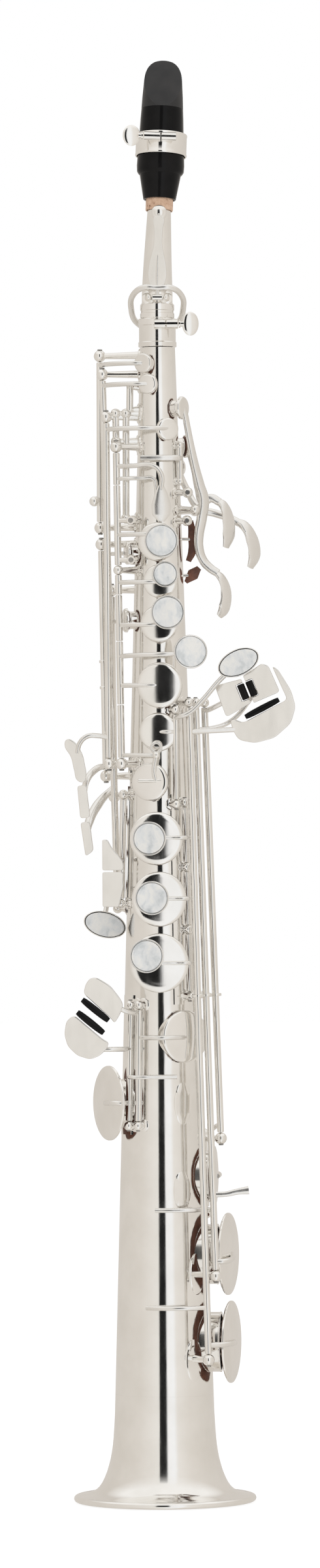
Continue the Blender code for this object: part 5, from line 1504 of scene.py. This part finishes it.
for bodyName, heads in screws.items():
    finishPiece(heads, camelName(bodyName) + "Screws", bodyName, steel)
bpy.data.objects.remove(screwMaster, do_unlink=True)


# floor, surroundings, light and camera

bpy.context.scene.view_settings.view_transform = "Standard"
surroundings = [  # degrees round from the camera towards +X, and what shines there
    (-180, (0.66, 0.62, 0.575)), (-110, (0.70, 0.66, 0.61)), (-60, (0.74, 0.70, 0.65)),
    (-26, (0.83, 0.80, 0.76)),
    (-12.5, (0.85, 0.83, 0.79)), (-11, (0.015, 0.015, 0.015)), (4.5, (0.015, 0.015, 0.015)),
    (6.5, (0.95, 0.95, 0.95)),
    (22, (0.95, 0.96, 0.97)), (30, (0.84, 0.81, 0.77)), (60, (0.76, 0.72, 0.67)), (110, (0.70, 0.66, 0.61)),
    (180, (0.66, 0.62, 0.575)),
]
stripHeight = [(0.0, (0, 0, 0)), (0.34, (0, 0, 0)), (0.37, (1, 1, 1)), (0.82, (1, 1, 1)), (0.85, (0, 0, 0)),
               (1.0, (0, 0, 0))]
skyHeight = [(0.0, (0, 0, 0)), (0.76, (0, 0, 0)), (0.9, (1, 1, 1))]
sky = (0.96, 0.95, 0.93, 1)
diffuseLight = 0.8


def mathOn(tree, operation, first, second):
    node = tree.nodes.new("ShaderNodeMath")
    node.operation = operation
    tree.links.new(first, node.inputs[0])
    if isinstance(second, float):
        node.inputs[1].default_value = second
    else:
        tree.links.new(second, node.inputs[1])
    return node.outputs["Value"]


def mixShaders(tree, share, first, second):
    mix = tree.nodes.new("ShaderNodeMixShader")
    for socket, source in zip(mix.inputs, (share, first, second)):
        tree.links.new(source, socket)
    return mix.outputs["Shader"]


def makeWorld():
    world = bpy.data.worlds.new("photoStudio")
    bpy.context.scene.world = world
    world.use_nodes = True
    tree = world.node_tree
    nodes, links = tree.nodes, tree.links
    nodes.clear()
    split = nodes.new("ShaderNodeSeparateXYZ")
    links.new(nodes.new("ShaderNodeTexCoord").outputs["Generated"], split.inputs["Vector"])
    flip = mathOn(tree, "MULTIPLY", split.outputs["Y"], -1.0)
    angle = mathOn(tree, "ARCTAN2", split.outputs["X"], flip)
    share = rangeOn(tree, angle, 0.0, 1.0, -math.pi, math.pi)
    around = [((degrees + 180) / 360, colour) for degrees, colour in surroundings]
    level = rampOn(tree, share, around)
    beyond = rampOn(tree, share, [stop for stop in around if sum(stop[1]) > 0.5])
    height = rangeOn(tree, split.outputs["Z"], 0.0, 1.0, -1.0, 1.0)
    walls, glow = nodes.new("ShaderNodeMix"), nodes.new("ShaderNodeMix")
    walls.data_type = glow.data_type = "RGBA"
    links.new(rampOn(tree, height, stripHeight), walls.inputs[0])
    links.new(beyond, walls.inputs[6])
    links.new(level, walls.inputs[7])
    links.new(rampOn(tree, height, skyHeight), glow.inputs[0])
    links.new(walls.outputs[2], glow.inputs[6])
    glow.inputs[7].default_value = sky
    rays = nodes.new("ShaderNodeLightPath").outputs
    shine, white, soft = (nodes.new("ShaderNodeBackground") for _ in range(3))
    links.new(glow.outputs[2], shine.inputs["Color"])
    white.inputs["Color"].default_value = (1, 1, 1, 1)
    soft.inputs["Color"].default_value = (diffuseLight, diffuseLight, diffuseLight, 1)
    mirrorRay = mathOn(tree, "MAXIMUM", rays["Is Glossy Ray"], rays["Is Transmission Ray"])
    reflected = mixShaders(tree, mirrorRay, soft.outputs["Background"], shine.outputs["Background"])
    seen = mixShaders(tree, rays["Is Camera Ray"], reflected, white.outputs["Background"])
    links.new(seen, nodes.new("ShaderNodeOutputWorld").inputs["Surface"])


floorLook = {"size": 14.0, "glow": 0.80, "paper": 0.24}


def makeFloor():
    startFresh()
    bpy.ops.mesh.primitive_plane_add(size=floorLook["size"], location=(0, 0, -0.0004))
    floor = bpy.context.object
    floor.name = "paleFloor"
    material = bpy.data.materials.new("paleFloor")
    material.use_nodes = True
    paper = floorLook["paper"]
    setInputs(material.node_tree.nodes["Principled BSDF"],
              {"Base Color": (paper, paper, paper, 1), "Roughness": 1.0, "Emission Color": (1, 1, 1, 1),
               "Emission Strength": floorLook["glow"]})
    floor.data.materials.append(material)
    floor.visible_glossy = False


lampSetup = [  # place, size and strength of soft lamps that mirrors don't show
    {"at": (-0.8, -1.6, 1.5), "size": 0.9, "power": 9.0},
    {"at": (1.2, -1.2, 1.2), "size": 0.9, "power": 6.0},
]


def makeLamps():
    for lamp in lampSetup:
        bpy.ops.object.light_add(type="AREA", location=lamp["at"])
        light = bpy.context.object
        light.data.size = lamp["size"]
        light.data.energy = lamp["power"]
        aim = Vector((0, 0, 0.3)) - Vector(lamp["at"])
        light.rotation_euler = aim.to_track_quat("-Z", "Y").to_euler()
        light.visible_glossy = False


cameraSetup = {"place": (-0.0002, -3.5, 0.346), "roll": -0.39, "lens": 166.5, "sensor": 36.0}


def makeCamera():
    bpy.ops.object.camera_add()
    camera = bpy.context.object
    camera.name = "photoCamera"
    camera.data.lens = cameraSetup["lens"]
    camera.data.sensor_width = cameraSetup["sensor"]
    camera.data.clip_start = 0.05
    turn = spin(90, "X") @ spin(cameraSetup["roll"], "Z")
    camera.matrix_world = Matrix.Translation(cameraSetup["place"]) @ turn
    bpy.context.scene.camera = camera


makeWorld()
makeFloor()
makeLamps()
makeCamera()
print("floor, light and camera done")
